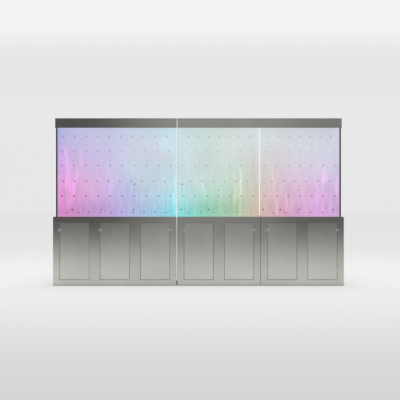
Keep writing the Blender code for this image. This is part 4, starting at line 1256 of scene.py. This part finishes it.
# Black ABS from a spark-eroded mould: matt, slightly grey where it is handled.
ABS_BLACK = Moulded("abs_black", "1B1C1E", "2A2B2D", 0.5, 0.0, 0.9, 0.04)
ROCKER_ABS = RockerPlastic("abs_black_printed", "1B1C1E", "242527", 0.4, 0.0, 0.9, 0.02)
# White printing ink: matt and slightly worn.
INK = Moulded("printing_ink_white", "E6E6E1", "D4D4CE", 0.6, 0.0, 0.6, 0.02)
# Woven polyester dust screen: dull, dark, with the weave's fine bumps.
SCREEN = Moulded("polyester_woven", "1D1F21", "2C2E31", 0.75, 0.0, 0.8, 0.3)
# Translucent silicone hose: soft, a little dusty.
SILICONE = Moulded("silicone_hose_wall", "C9D2D3", "B8C2C4", 0.45, 0.0, 3.0, 0.05)
# Nickel-plated brass valve: bright, warm, with a fine cast texture under the plating.
NICKEL = Moulded("nickel_on_brass", "C9BFA6", "D6CEBA", 0.26, 1.0, 1.6, 0.02)
# Dipped vinyl grip: red, soft sheen.
VINYL = Moulded("vinyl_dip_red", "B2221C", "C63A31", 0.4, 0.0, 2.0, 0.04, 0.2)
# Grey foam rubber seal, dull and slightly open-pored.
FOAM = Moulded("foam_rubber_grey", "ADACA6", "B9B8B2", 0.8, 0.0, 1.4, 0.12)
# Bright zinc plating on small screws.
ZINC = Moulded("zinc_plating", "C9CBCE", "D3D5D7", 0.3, 1.0, 0.8, 0.01)
# Turned and polished steel, as on plungers, screws, pins and clamps.
POLISHED = Moulded("steel_turned", "B8B9BA", "CACBCC", 0.18, 1.0, 0.7, 0.005)


@dataclass
class Studio:
    """The pale floor, the soft light and the camera at the photograph's place."""

    eye: Place = (0.019, -6.61, 1.0325)
    lens_mm: float = 48.24
    sensor_mm: float = 36.0
    view_end: float = 200.0
    lamp_place: Place = (0.0, -1.0, 5.0)
    lamp_size: tuple[float, float] = (9.0, 6.0)
    lamp_power: float = 110.0
    floor_radius: float = 40.0
    floor_level: float = -0.0005
    floor_corners: int = 96
    # The floor's pale tone is mostly its own glow, and the soft lamp adds a share of it.
    floor_glow: float = 0.79
    floor_matt: float = 0.3
    plain_light: float = 0.62
    # What the camera sees of the backdrop, by its height in degrees, and of the floor, by its place along Y.
    # The floor's tones are painted light and shade: lightest beside the object, darkest a few metres in
    # front.
    backdrop: Stops = ((6.0, "E7E7E7"), (9.5, "E9E9E9"), (11.6, "E6E6E6"), (13.6, "E5E5E5"), (15.6, "E8E8E8"),
                       (17.6, "F2F2F2"))
    floor_seen: Stops = ((-9.0, "E7E7E7"), (-5.2, "DADADA"), (-3.85, "D2D2D2"), (-3.54, "D4D4D4"),
                         (-3.15, "D7D7D7"), (-2.66, "DCDCDC"), (-2.0, "E2E2E2"), (-1.08, "E9E9E9"),
                         (0.0, "EDEDED"), (1.2, "EFEFEF"), (2.6, "ECECEC"), (4.5, "E8E8E8"),
                         (9.0, "E7E7E7"))
    # A painted contact shadow: the floor is darker right beside the object, by the distance from it.
    floor_painted_shadow: Stops = ((0.0, 0.84), (0.04, 0.9), (0.12, 0.95), (0.3, 0.98), (0.7, 1.0))
    # What the steel mirrors of the floor, by its distance from the object: painted shade right by the object,
    # and painted light that fades far away.
    # From the first of the two distances below, the tone starts to change sideways as well, and from the
    # second it does so fully.
    floor_mirrored: Stops = ((0.0, 0.30), (0.13, 0.34), (0.2, 0.56), (0.29, 0.82), (0.5, 0.87), (0.9, 0.895),
                             (2.0, 0.885), (3.6, 0.775), (5.9, 0.57), (9.4, 0.40), (15.7, 0.34), (22.0, 0.36))
    sides_from: float = 5.5
    sides_full: float = 11.5
    # Sideways is a slope, as seen from a point this far behind the object. The far left gets a little painted
    # light.
    slope_reach: float = 6.3
    floor_left: Stops = ((-0.35, 0.16), (-0.273, 0.16), (-0.25, 0.06), (-0.235, 0.0), (0.35, 0.0))
    floor_sides: Stops = ((-0.35, 0.13), (-0.255, 0.15), (-0.2, 0.02), (-0.159, 0.12), (-0.121, 0.53),
                          (-0.084, 0.91), (0.0, 1.0), (0.09, 0.95), (0.14, 0.55), (0.19, 0.08), (0.224, 0.02),
                          (0.263, 0.15), (0.35, 0.2))
    # Beside the object, the distance counts from this place along X.
    end_from: float = 1.6
    # The dark room in front that the steel mirrors, by angle aside and by angle up, in degrees.
    room_mirrored: Stops = ((-60.0, 0.8), (-40.0, 0.7), (-20.0, 0.18), (-12.0, 0.09), (-10.9, 0.11),
                            (-8.7, 0.22), (-6.6, 0.39), (-4.4, 0.49), (-2.0, 0.53), (6.0, 0.53), (8.7, 0.5),
                            (10.5, 0.43), (12.4, 0.37), (14.6, 0.33), (20.0, 0.3), (40.0, 0.7), (60.0, 0.8))
    room_rise: Stops = ((0.0, 0.30), (8.0, 0.49), (25.0, 0.8), (60.0, 1.0))
    room_gain: float = 2.0
    room_brightest: float = 0.85

    def camera(self) -> None:
        """Stand the camera level, straight in front, at half the object's height."""
        data = bpy.data.cameras.new("camera")
        data.lens, data.sensor_width, data.clip_end = self.lens_mm, self.sensor_mm, self.view_end
        camera = in_scene("camera", data)
        camera.location, camera.rotation_euler = self.eye, (QUARTER, 0, 0)
        bpy.context.scene.camera = camera

    def seen(self, tree: Tree) -> tuple[Any, Any]:
        """Tell what kind of ray looks.

        Args:
            tree: the node tree that gets the nodes.

        Returns:
            The outputs that are 1 for a ray from the camera or through glass, and for one off a mirror.
        """
        path = add_node(tree, "ShaderNodeLightPath").node.outputs
        looking = add_node(tree, "MAXIMUM", (path["Is Camera Ray"], path["Is Transmission Ray"]))
        return looking, path["Is Glossy Ray"]

    def sky(self) -> None:
        """Light the scene from all round, and give the camera and the steel their own tones."""
        world = bpy.data.worlds.new("studio")
        bpy.context.scene.world = world
        world.use_nodes = True
        world.cycles.sampling_method = "NONE"
        tree = world.node_tree
        parts = add_node(tree, "SPLIT", [add_node(tree, "ShaderNodeTexCoord", out="Generated")]).node.outputs
        ahead = add_node(tree, "MULTIPLY", (parts["Y"], -1.0))
        level = add_node(tree, "MAXIMUM", [add_node(tree, "ABSOLUTE", [parts[axis]]) for axis in "XY"])
        angle, rise = (add_node(tree, "DEGREES", [add_node(tree, "ARCTAN2", slope)])
                       for slope in ((parts["X"], ahead), (parts["Z"], level)))
        height = add_node(tree, "MULTIPLY", (graded(tree, rise, self.room_rise), self.room_gain))
        room = add_node(tree, "MULTIPLY", (graded(tree, angle, self.room_mirrored), height))
        room = add_node(tree, "MINIMUM", (room, self.room_brightest))
        looking, glossy = self.seen(tree)
        plain = (self.plain_light,) * 3 + (1.0,)
        tone = add_node(tree, "MIX_COLOUR", {0: glossy, 6: plain, 7: room})
        tone = add_node(tree, "MIX_COLOUR", {0: looking, 6: tone, 7: graded(tree, rise, self.backdrop)})
        feed(tree, tree.nodes["Background"], {"Color": tone})

    def lamp(self) -> None:
        """Hang one wide soft lamp over the object, for a soft shadow under it."""
        data = bpy.data.lights.new("soft_box", "AREA")
        data.shape, data.energy = "RECTANGLE", self.lamp_power
        data.size, data.size_y = self.lamp_size
        lamp = in_scene("soft_box", data)
        lamp.location = self.lamp_place
        lamp.visible_glossy = lamp.visible_camera = False

    def paint(self) -> bpy.types.Material:
        """Make the floor's paint: one look for the camera, and one that the steel mirrors, each with painted
        light and shade.

        Returns:
            The paint.
        """
        paint = bpy.data.materials.new("studio_floor_paint")
        paint.use_nodes = True
        tree = paint.node_tree
        tree.nodes.remove(tree.nodes["Principled BSDF"])
        _, across, along, _ = located(tree)
        looking, glossy = self.seen(tree)
        far, aside = (add_node(tree, "ABSOLUTE", [measure]) for measure in (along, across))
        clear = [add_node(tree, "SUBTRACT", pair) for pair in ((far, CAD_BOX[1][1]), (aside, CAD_BOX[1][0]))]
        # The painted contact shadow darkens the floor beside the object.
        painted_shadow = graded(tree, add_node(tree, "MAXIMUM", clear), self.floor_painted_shadow)
        shown = add_node(tree, "SCALE", {0: graded(tree, along, self.floor_seen), "Scale": painted_shadow})
        own = add_node(tree, "MULTIPLY", (looking, self.floor_glow))
        light = add_node(tree, "ShaderNodeEmission", {"Color": shown, "Strength": own})
        lit = add_node(tree, "SCALE", {0: shown, "Scale": self.floor_matt})
        plain = add_node(tree, "ShaderNodeAddShader", (light, add_node(tree, "ShaderNodeBsdfDiffuse", [lit])))
        distance = add_node(tree, "MAXIMUM", (far, add_node(tree, "SUBTRACT", (aside, self.end_from))))
        slope = add_node(tree, "DIVIDE", (across, add_node(tree, "ADD", (far, self.slope_reach))))
        weight = add_node(tree, "RANGE", (distance, self.sides_from, self.sides_full))
        sides = add_node(tree, "MIX", {0: weight, 2: 1.0, 3: graded(tree, slope, self.floor_sides)})
        tone = add_node(tree, "MULTIPLY", (graded(tree, distance, self.floor_mirrored), sides))
        tone = add_node(tree, "MULTIPLY_ADD", (tone, graded(tree, slope, self.floor_left), tone))
        image = add_node(tree, "ShaderNodeEmission", {"Color": tone})
        both = add_node(tree, "ShaderNodeMixShader", (glossy, plain, image))
        feed(tree, tree.nodes["Material Output"], {"Surface": both})
        return paint

    def floor(self) -> None:
        """Lay the floor just under the object's feet."""
        shape = bmesh.new()
        bmesh.ops.create_circle(shape, cap_ends=True, segments=self.floor_corners, radius=self.floor_radius)
        bmesh.ops.translate(shape, vec=(0, 0, self.floor_level), verts=shape.verts)
        mesh = bpy.data.meshes.new("floor")
        shape.to_mesh(mesh)
        shape.free()
        mesh.materials.append(self.paint())
        in_scene("floor", mesh)

    def build(self) -> None:
        """Set up the view, the light and the floor."""
        self.camera()
        self.sky()
        self.lamp()
        self.floor()
        bpy.context.scene.view_settings.view_transform = "Standard"


@dataclass
class Tank:
    """One water tank: two sheets tied by pins, bars round the water, and an air line along its floor."""

    bay: str
    seed: int
    sheet_thickness: float = 0.010
    edge: float = 0.0006
    pin_radius: float = 0.0075
    pin_chamfer: float = 0.0006
    pin_foot: float = 0.0136
    pin_head: float = 0.0026
    pin_shaft: float = 0.006
    pin_socket: float = 0.0005
    pin_sides: int = 24
    end_bar: float = 0.008
    line_radius: float = 0.006
    line_edge: float = 0.001
    line_sides: int = 20
    stem_radius: float = 0.005
    nozzle_radius: float = 0.0022
    nozzle_height: float = 0.003
    nozzle_root: float = 0.004
    nozzle_spacing: float = 0.095
    nozzle_inset: float = 0.040
    nozzle_sides: int = 12
    water_level: float = 1.955
    water_skin: float = 0.003
    ripple_height: float = 0.0012
    ripple_length: float = 0.09
    ripple_steps: int = 6
    # Small studs on the back sheet, by place along the wall and by height, and short capsules among them.
    stud_spots: Outline = ((-1.561, 0.915), (-1.206, 0.915), (-0.806, 0.915), (-0.215, 0.915), (0.129, 0.915),
                           (0.801, 0.915), (1.017, 0.915), (1.245, 0.915), (1.674, 0.915), (-0.792, 1.228),
                           (-0.204, 1.228))
    capsule_spots: Outline = ((-0.788, 1.155), (0.246, 1.155), (1.234, 1.155))
    stud_radius: float = 0.0088
    capsule_radius: float = 0.0035
    capsule_length: float = 0.024
    stud_sides: int = 16
    # How many bubbles rise from a nozzle, and how many stand in each metre of a full curtain.
    stream_bubbles: int = 150
    plume_bubbles: int = 900
    bubble_margin: float = 0.004
    over_nozzle: float = 0.006
    under_surface: float = 0.01
    # What the streams and the curtains share, and how a stream differs from a curtain.
    drift: ClassVar[dict[str, float]] = {"Depth": 0.026, "Wave": 21.0, "Smallest": 0.0007}
    stream: ClassVar[dict[str, float]] = {"Lean": 0.0, "Spread": 0.055, "Sway": 0.006, "Largest": 0.0034}
    curtain: ClassVar[dict[str, float]] = {"Streams": 1, "Pitch": 0.0, "Sway": 0.004, "Largest": 0.0028}

    def __post_init__(self) -> None:
        """Read the tank's place off the frame."""
        self.back_node, self.line_node = f"tank_back_{self.bay}", f"bubble_bar_{self.bay}"
        self.low, self.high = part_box(self.back_node)
        self.water_back = self.high.y - self.sheet_thickness
        self.line_low, self.line_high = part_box(self.line_node)
        self.line_level = self.line_low.z + self.line_radius
        start, end = self.line_low.x + self.nozzle_inset, self.line_high.x - self.nozzle_inset
        gaps = round((end - start) / self.nozzle_spacing)
        self.nozzle_places = [(start + (end - start) * i / gaps, 0, self.line_level) for i in range(gaps + 1)]

    def back_sheet(self) -> None:
        """Make the frosted sheet behind the water."""
        front = (self.low.x, self.water_back, self.low.z)
        sheet = slab(f"back_sheet_{self.bay}", front, tuple(self.high), self.edge)
        FROSTED.fit(sheet, ROOT, "diffusing_acrylic", self.back_node)

    def pin_places(self) -> list[Place]:
        """Read the middle of each pin's front end off the frame.

        Returns:
            The places.
        """
        rings: list[list[Vector]] = []
        reach = 3 * self.pin_radius
        for place in [v.co.copy() for v in frame["nodes"][self.back_node].data.vertices]:
            if place.y > self.low.y + self.edge:
                continue
            near = [ring for ring in rings if (ring[0] - place).length < reach]
            if near:
                near[0].append(place)
            else:
                rings.append([place])
        return [(middle_of(ring, 0), self.low.y, middle_of(ring, 2)) for ring in rings]

    def pins(self) -> None:
        """Make the round pins that tie the two sheets together."""
        length = self.water_back - self.low.y + self.pin_socket
        foot, end, shaft = self.pin_foot, self.pin_radius, self.pin_shaft
        ease, head = self.pin_chamfer, self.pin_head
        rod = turned("brace_pin", ((foot - ease, 0), (foot, ease), (foot, head - 2 * ease),
                                   (foot - ease, head - ease), (shaft, head), (shaft, length - head),
                                   (end, length - ease), (end, length)), self.pin_sides)
        PIN_ACRYLIC.repeat(f"brace_pins_{self.bay}", self.pin_places(), rod, ROOT, "edge_lit_acrylic",
                           self.back_node, turn=TO_BACK)

    def air_line(self) -> None:
        """Make the air line, its stem and, along its top, the barbed nozzles that the bubbles leave."""
        slot, r, e, level = "air_line_nylon", self.line_radius, self.line_edge, self.line_level
        length = self.line_high.x - self.line_low.x
        rings = ((r - e, 0), (r, e), (r, length - e), (r - e, length))
        tube = turned(f"air_line_{self.bay}", rings, self.line_sides)
        tube.transform(Matrix.Translation((self.line_low.x, 0, level)) @ Euler(ALONG).to_matrix().to_4x4())
        LIT_NYLON.fit(tube, ROOT, slot, self.line_node)
        s, foot = self.stem_radius, self.line_low.z
        rings = ((s * 0.8, foot), (s, foot + 2 * e), (s, level), (s * 0.9, level + e))
        stem = turned(f"air_stem_{self.bay}", rings, self.line_sides)
        lowest = [v.co for v in frame["nodes"][self.line_node].data.vertices if v.co.z < foot + self.edge]
        stem.transform(Matrix.Translation((middle_of(lowest, 0), 0, 0)))
        LIT_NYLON.fit(stem, ROOT, slot, self.line_node)
        n, top = self.nozzle_radius, r + self.nozzle_height
        rings = ((n * 1.5, self.nozzle_root), (n * 1.5, r + 0.6 * e), (n, r + e), (n, top - 0.8 * e),
                 (n * 0.7, top), (n * 0.35, top), (n * 0.35, top - e))
        nozzle = turned("nozzle", rings, self.nozzle_sides)
        LIT_NYLON.repeat(f"nozzles_{self.bay}", self.nozzle_places, nozzle, ROOT, slot, self.line_node)

    def studs(self) -> None:
        """Make the small studs and capsules on the front of the back sheet."""
        r, c, sides = self.stud_radius, self.capsule_radius, self.stud_sides
        stud = Profile.STUD.part(r, 2 * r, sides)
        capsule = Profile.CAPSULE.part(c, self.capsule_length / 2, sides)
        for kind, spots, part, before, turn in (("studs", self.stud_spots, stud, 0.0, TO_FRONT),
                                                ("capsules", self.capsule_spots, capsule, c, ALONG)):
            places = [(x, self.water_back - before, z) for x, z in spots if self.low.x < x < self.high.x]
            STUD_NYLON.repeat(f"wall_{kind}_{self.bay}", places, part, ROOT, "air_line_nylon", turn=turn)

    def surface(self) -> None:
        """Make the skin of the water, with low crossing ripples from the breaking bubbles."""
        left, right = self.low.x + self.end_bar, self.high.x - self.end_bar
        front, back = self.low.y, self.water_back
        step = self.ripple_length / self.ripple_steps
        columns, rows = round((right - left) / step), max(2, round((back - front) / step))
        shape = bmesh.new()
        bmesh.ops.create_grid(shape, x_segments=columns, y_segments=rows, size=0.5)
        place = Matrix.Translation(((left + right) / 2, (front + back) / 2, self.water_level))
        bmesh.ops.transform(shape, matrix=place @ Matrix.Diagonal((right - left, back - front, 1, 1)),
                            verts=shape.verts)
        turns = 2 * math.pi / self.ripple_length
        bend, bend_rate, cross, cross_along, cross_aside = 1.7, 0.37, 0.6, 1.6, 2.3
        for vertex in shape.verts:
            along, aside = vertex.co.x * turns, vertex.co.y * turns
            wave = math.sin(along + bend * math.sin(bend_rate * along))
            wave += cross * math.sin(cross_along * along + cross_aside * aside)
            vertex.co.z += self.ripple_height * wave / 2
        under = bmesh.ops.extrude_face_region(shape, geom=shape.faces[:])["geom"]
        sunk = [part for part in under if isinstance(part, bmesh.types.BMVert)]
        bmesh.ops.translate(shape, vec=(0, 0, -self.water_skin), verts=sunk)
        BUBBLE_AIR.fit(smooth(meshed(shape, f"water_surface_{self.bay}")), ROOT, "diffusing_acrylic")

    def bubbles(self) -> None:
        """Fill the water with rising bubbles: a stream at each nozzle and a curtain along each plume."""
        first, last, streams = self.nozzle_places[0][0], self.nozzle_places[-1][0], len(self.nozzle_places)
        foot = self.line_level + self.line_radius + self.over_nozzle
        inset = self.end_bar + self.bubble_margin
        common = {**self.drift, "Left": self.low.x + inset, "Width": self.high.x - self.low.x - 2 * inset,
                  "Finish": BUBBLE_AIR.material()}
        runs = [{**common, **self.stream, "Count": streams * self.stream_bubbles, "Streams": streams,
                 "Foot": (first, 0.0, foot), "Pitch": (last - first) / (streams - 1),
                 "Rise": self.water_level - foot - self.under_surface, "Seed": self.seed}]
        for index, plume in enumerate(PLUMES, 1):
            if self.low.x < plume.x < self.high.x:
                tall = plume.high - plume.low
                count = int(self.plume_bubbles * tall * plume.strength)
                start = (plume.x, 0.0, max(plume.low, foot))
                runs.append({**common, **self.curtain, "Count": count, "Foot": start, "Rise": tall,
                             "Lean": plume.lean, "Spread": plume.width, "Seed": self.seed + index})
        water = in_scene(f"bubbles_{self.bay}", bpy.data.meshes.new("bubbles"))
        fix(BubbleStreams().grow(water, *runs), ROOT, "diffusing_acrylic")

    def build(self) -> None:
        """Make the tank's own pieces and dress its packed ones."""
        for step in (self.back_sheet, self.pins, self.air_line, self.studs, self.surface, self.bubbles):
            step()
        CLEAR.dress(f"tank_front_{self.bay}")
        BAR_ACRYLIC.dress(f"tank_frame_{self.bay}")


@dataclass
class Door:
    """One door: its finish, the screws of its two surface hinges and the pins in them."""

    number: int
    leaf_front: float = -0.1615
    leaf_middle: float = 0.0125
    hinge_height: float = 0.028
    above_foot: float = 0.089
    below_head: float = 0.070
    screw_spacing: float = 0.016
    screw_radius: float = 0.0031
    screw_height: float = 0.0007
    gap: float = 0.004
    seal_width: float = 0.0021
    seal_front: float = -0.1596
    seal_depth: float = 0.005
    pin_radius: float = 0.0022
    pin_neck: float = 0.0012
    pin_head: float = 0.0007
    pin_sides: int = 12

    def __post_init__(self) -> None:
        """Read the hinge line and the side that it is on off the frame."""
        self.node = f"door_{self.number}"
        self.low, self.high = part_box(self.node)
        swing = next(joint for joint in frame["joints"] if joint["name"] == f"{self.node}_swing")
        self.axis_x, self.axis_y = swing["pos_m"][:2]
        self.side = -1 if self.axis_x < (self.low.x + self.high.x) / 2 else 1
        self.levels = (self.low.z + self.above_foot, self.high.z - self.below_head - self.hinge_height)

    def hinges(self) -> None:
        """Fit the screws in the leaves on both sides of the hinge line, and the pins between them."""
        slot, half, tall = "brushed_stainless", self.screw_spacing / 2, self.hinge_height
        for body, towards in ((self.node, -self.side), (ROOT, self.side)):
            places = [(self.axis_x + towards * self.leaf_middle, self.leaf_front, level + tall / 2 + up)
                      for level in self.levels for up in (-half, half)]
            screw = Profile.PAN_SCREW.part(self.screw_radius, self.screw_height)
            ZINC.repeat(f"hinge_screws_{self.number}_{body}", places, screw, body, slot, turn=TO_FRONT)
        r, neck, cap = self.pin_radius, self.pin_neck, self.pin_head
        rings = ((r * 0.6, -cap), (r, -cap * 0.5), (r, 0), (neck, 0), (neck, tall), (r, tall),
                 (r, tall + cap * 0.5), (r * 0.6, tall + cap))
        pin = turned("hinge_pin", rings, self.pin_sides)
        places = [(self.axis_x, self.axis_y, level) for level in self.levels]
        POLISHED.repeat(f"hinge_pins_{self.number}", places, pin, ROOT, slot)

    def seal(self) -> None:
        """Line the door's opening with a thin foam seal."""
        hinged = self.axis_x + self.side * self.gap / 2
        free = (self.high.x if self.side < 0 else self.low.x) - self.side * self.gap
        middle = ((hinged + free) / 2, (self.low.z + self.high.z) / 2)
        width, height = abs(free - hinged), self.high.z - self.low.z + 2 * self.gap
        lines = [rounded(middle, width - shrunk, height - shrunk, corner, steps=3)
                 for shrunk, corner in ((0.0, self.gap / 8), (2 * self.seal_width, self.gap / 4))]
        back = self.seal_front + self.seal_depth
        ring = punched(f"door_seal_{self.number}", lines, self.seal_front, back, self.gap / 20)
        FOAM.fit(ring, ROOT, "power_unit_plastic")

    def build(self) -> None:
        """Dress the door and its latch pin, and fit its hinges and its seal."""
        DOOR_STEEL.dress(self.node)
        POLISHED.dress(f"latch_plunger_{self.number}")
        self.hinges()
        self.seal()


@dataclass
class BackPanel:
    """The vented back sheet of one bay, with its screws and the dust screens behind its slots."""

    bay: str
    edge: float = 0.0003
    corner: float = 0.001
    vent_width: float = 0.090
    vent_height: float = 0.005
    vent_pitch: float = 0.016
    vent_rows: int = 5
    vent_top: float = 0.740
    vent_inset: float = 0.160
    window: tuple[float, float] = (0.0726, 0.0346)
    screw_inset: float = 0.012
    screw_spacing: float = 0.26
    screw_radius: float = 0.0034
    screw_sink: float = 0.0010
    hole_clearance: float = 0.0002
    screen_margin: float = 0.010
    screen_gap: float = 0.0002
    screen_thickness: float = 0.0010

    def __post_init__(self) -> None:
        """Read the sheet's place off the frame."""
        self.node = f"back_panel_{self.bay}"
        self.low, self.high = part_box(self.node)
        self.vents = {"left": self.low.x + self.vent_inset, "right": self.high.x - self.vent_inset}

    def screw_spots(self) -> list[tuple[float, float]]:
        """Space the screws evenly along all four edges.

        Returns:
            Where they sit, across and up.
        """
        inset = self.screw_inset
        left, right = self.low.x + inset, self.high.x - inset
        bottom, top = self.low.z + inset, self.high.z - inset
        across, up = (round(run / self.screw_spacing) for run in (right - left, top - bottom))
        spots = [(left + (right - left) * i / across, z) for i in range(across + 1) for z in (bottom, top)]
        return spots + [(x, bottom + (top - bottom) * i / up) for i in range(1, up) for x in (left, right)]

    def sheet(self) -> None:
        """Make the sheet, with its slots, its screw holes and the window round the power unit's inlet."""
        size, middle = self.high - self.low, (self.low + self.high) / 2
        outlines = [rounded((middle.x, middle.z), size.x, size.z, self.corner, steps=3)]
        vent = (self.vent_width, self.vent_height, self.vent_height / 2 - self.edge)
        for x in self.vents.values():
            for row in range(self.vent_rows):
                z = self.vent_top - row * self.vent_pitch - self.vent_height / 2
                outlines.append(rounded((x, z), *vent))
        unit_low, unit_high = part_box("power_unit")
        if self.low.x < unit_low.x < self.high.x:
            unit = (unit_low + unit_high) / 2
            outlines.append(rounded((unit.x, unit.z), *self.window, self.corner, steps=3))
        hole = 2 * (self.screw_radius + self.hole_clearance)
        outlines += [rounded(spot, hole, hole, hole / 2, steps=4) for spot in self.screw_spots()]
        sheet = punched(f"back_sheet_steel_{self.bay}", outlines, self.low.y, self.high.y, self.edge)
        SHEET_STEEL.fit(sheet, ROOT, "brushed_stainless", self.node)

    def build(self) -> None:
        """Make the sheet, its screws and its dust screens."""
        self.sheet()
        places = [(x, self.high.y - self.edge / 2, z) for x, z in self.screw_spots()]
        screw = Profile.FLAT_SCREW.part(self.screw_radius, self.screw_sink)
        POLISHED.repeat(f"back_screws_{self.bay}", places, screw, ROOT, "brushed_stainless", turn=TO_BACK)
        margin, back = self.screen_margin, self.low.y - self.screen_gap
        half, top = self.vent_width / 2 + margin, self.vent_top + margin
        bottom = self.vent_top - (self.vent_rows - 1) * self.vent_pitch - self.vent_height - margin
        for side, x in self.vents.items():
            corners = (x - half, back - self.screen_thickness, bottom), (x + half, back, top)
            screen = slab(f"dust_screen_{self.bay}_{side}", *corners, self.screen_gap)
            SCREEN.fit(screen, ROOT, "power_unit_plastic")


@dataclass
class Pump:
    """The air pump's small parts: the flow scale, the knob's pointer, cover screws and the hose's clamps."""

    bay: str
    scale_radius: float = 0.0200
    scale_marks: int = 9
    scale_sweep: float = math.radians(270)
    mark_radius: float = 0.0009
    mark_height: float = 0.0003
    pointer: Place = (0.0016, 0.0003, 0.0090)
    pointer_start: float = 0.0030
    screw_inset: float = 0.012
    screw_radius: float = 0.0030
    screw_height: float = 0.0016
    clamp_inner: float = 0.0061
    clamp_outer: float = 0.0072
    clamp_height: float = 0.008
    clamp_inset: float = 0.003
    face: float = -0.020
    body_bottom: float = 0.0133
    body_height: float = 0.080

    def dial(self) -> None:
        """Print the flow scale round the knob, and the pointer on it."""
        knob = f"flow_knob_{self.bay}"
        low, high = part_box(knob)
        x, z = (low.x + high.x) / 2, (low.z + high.z) / 2
        turns = [self.scale_sweep * (i / (self.scale_marks - 1) - 0.5) for i in range(self.scale_marks)]
        r = self.scale_radius
        places = [(x + r * math.sin(turn), self.face, z + r * math.cos(turn)) for turn in turns]
        mark = Profile.DOT.part(self.mark_radius, self.mark_height)
        INK.repeat(f"flow_scale_{self.bay}", places, mark, ROOT, "pump_casting", turn=TO_FRONT)
        wide, thick, long = self.pointer
        line = slab(f"knob_pointer_{self.bay}", (-wide / 2, -thick, self.pointer_start),
                    (wide / 2, thick, self.pointer_start + long), thick / 3)
        line.transform(Matrix.Translation((x, low.y, z)) @ Matrix.Rotation(self.scale_sweep / 2, 4, "Y"))
        INK.fit(line, knob, "black_knob_plastic")

    def screws(self) -> None:
        """Fit a screw near each corner of the pump's cover."""
        low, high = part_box(f"air_pump_{self.bay}")
        inset = self.screw_inset
        places = [(x, self.face, self.body_bottom + up) for x in (low.x + inset, high.x - inset)
                  for up in (inset, self.body_height - inset)]
        screw = Profile.PAN_SCREW.part(self.screw_radius, self.screw_height)
        POLISHED.repeat(f"pump_screws_{self.bay}", places, screw, ROOT, "pump_casting", turn=TO_FRONT)

    def clamps(self) -> None:
        """Put a spring clamp round each end of the hose."""
        hose = f"air_hose_{self.bay}"
        low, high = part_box(hose)
        inner, outer, tall = self.clamp_inner, self.clamp_outer, self.clamp_height
        places = []
        for level, start in ((low.z, low.z + self.clamp_inset), (high.z, high.z - self.clamp_inset - tall)):
            ring = [v.co for v in frame["nodes"][hose].data.vertices if abs(v.co.z - level) < MM / 10]
            places.append((middle_of(ring, 0), middle_of(ring, 1), start))
        ease = (outer - inner) / 4
        clamp = turned("clamp", ((inner, 0), (outer - ease, 0), (outer, ease), (outer, tall - ease),
                                 (outer - ease, tall), (inner, tall)), 24, hollow=True)
        POLISHED.repeat(f"hose_clamps_{self.bay}", places, clamp, ROOT, "steel_plunger")

    def build(self) -> None:
        """Dress the pump and add its small parts."""
        ENAMEL.dress(f"air_pump_{self.bay}")
        ABS_BLACK.dress(f"flow_knob_{self.bay}")
        SILICONE.dress(f"air_hose_{self.bay}")
        self.dial()
        self.screws()
        self.clamps()


@dataclass
class Drain:
    """The drain valve's small parts: the lever's dipped grip and the nut on its spindle."""

    bay: str
    grip_start: float = 0.024
    grip_overhang: float = 0.0006
    grip_wall: float = 0.0015
    grip_edge: float = 0.0024
    arm_half_height: float = 0.0060
    nut_radius: float = 0.0055
    nut_height: float = 0.0032
    hub_radius: float = 0.010

    def build(self) -> None:
        """Dress the valve, and fit the grip and the nut on the lever."""
        lever = f"drain_lever_{self.bay}"
        NICKEL.dress(f"drain_valve_{self.bay}")
        POLISHED.dress(lever)
        low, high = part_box(lever)
        x, z, wall = low.x + self.hub_radius, (low.z + high.z) / 2, self.grip_wall
        half = (high.z - low.z) / 2 - self.hub_radius + self.arm_half_height + wall
        grip = slab(f"lever_grip_{self.bay}", (x + self.grip_start, low.y - wall, z - half),
                    (high.x + self.grip_overhang, high.y + wall, z + half), self.grip_edge)
        VINYL.fit(grip, lever, "red_lever_grip")
        nut = Profile.NUT.part(self.nut_radius, self.nut_height, sides=6)
        POLISHED.repeat(f"lever_nut_{self.bay}", [(x, low.y, z)], nut, lever, "steel_plunger", turn=TO_FRONT)


@dataclass
class Cabinet:
    """One steel cabinet bay with its doors and what stands inside it."""

    bay: str
    doors: Sequence[int]

    def build(self) -> None:
        """Build the bay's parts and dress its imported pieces."""
        SHEET_STEEL.dress(f"cabinet_{self.bay}", f"fascia_{self.bay}")
        ANODISED.dress(f"light_bar_{self.bay}")
        for part in (*map(Door, self.doors), BackPanel(self.bay), Pump(self.bay), Drain(self.bay)):
            part.build()


@dataclass
class Trim:
    """What the tanks share: the caps, the end posts painted dark as shade, the divider with its painted glow,
    and the power unit.
    """

    def build(self) -> None:
        """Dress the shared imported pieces."""
        SHEET_STEEL.dress("cap_left", "cap_right")
        SHADED_STEEL.dress("side_post_left", "side_post_right")
        OPAL.dress("lit_divider")
        ABS_BLACK.dress("power_unit")
        ROCKER_ABS.dress("power_rocker")


# Each bay, with its doors and the seed of its bubbles.
BAYS = (("left", (1, 2, 3), 7), ("middle", (4, 5), 107), ("right", (6, 7), 207))


def main() -> None:
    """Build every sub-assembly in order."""
    logging.basicConfig(level=logging.INFO, format="%(name)s: %(message)s")
    Studio().build()
    for bay, doors, seed in BAYS:
        Cabinet(bay, doors).build()
        Tank(bay, seed).build()
    Trim().build()


if __name__ == "__main__":
    main()
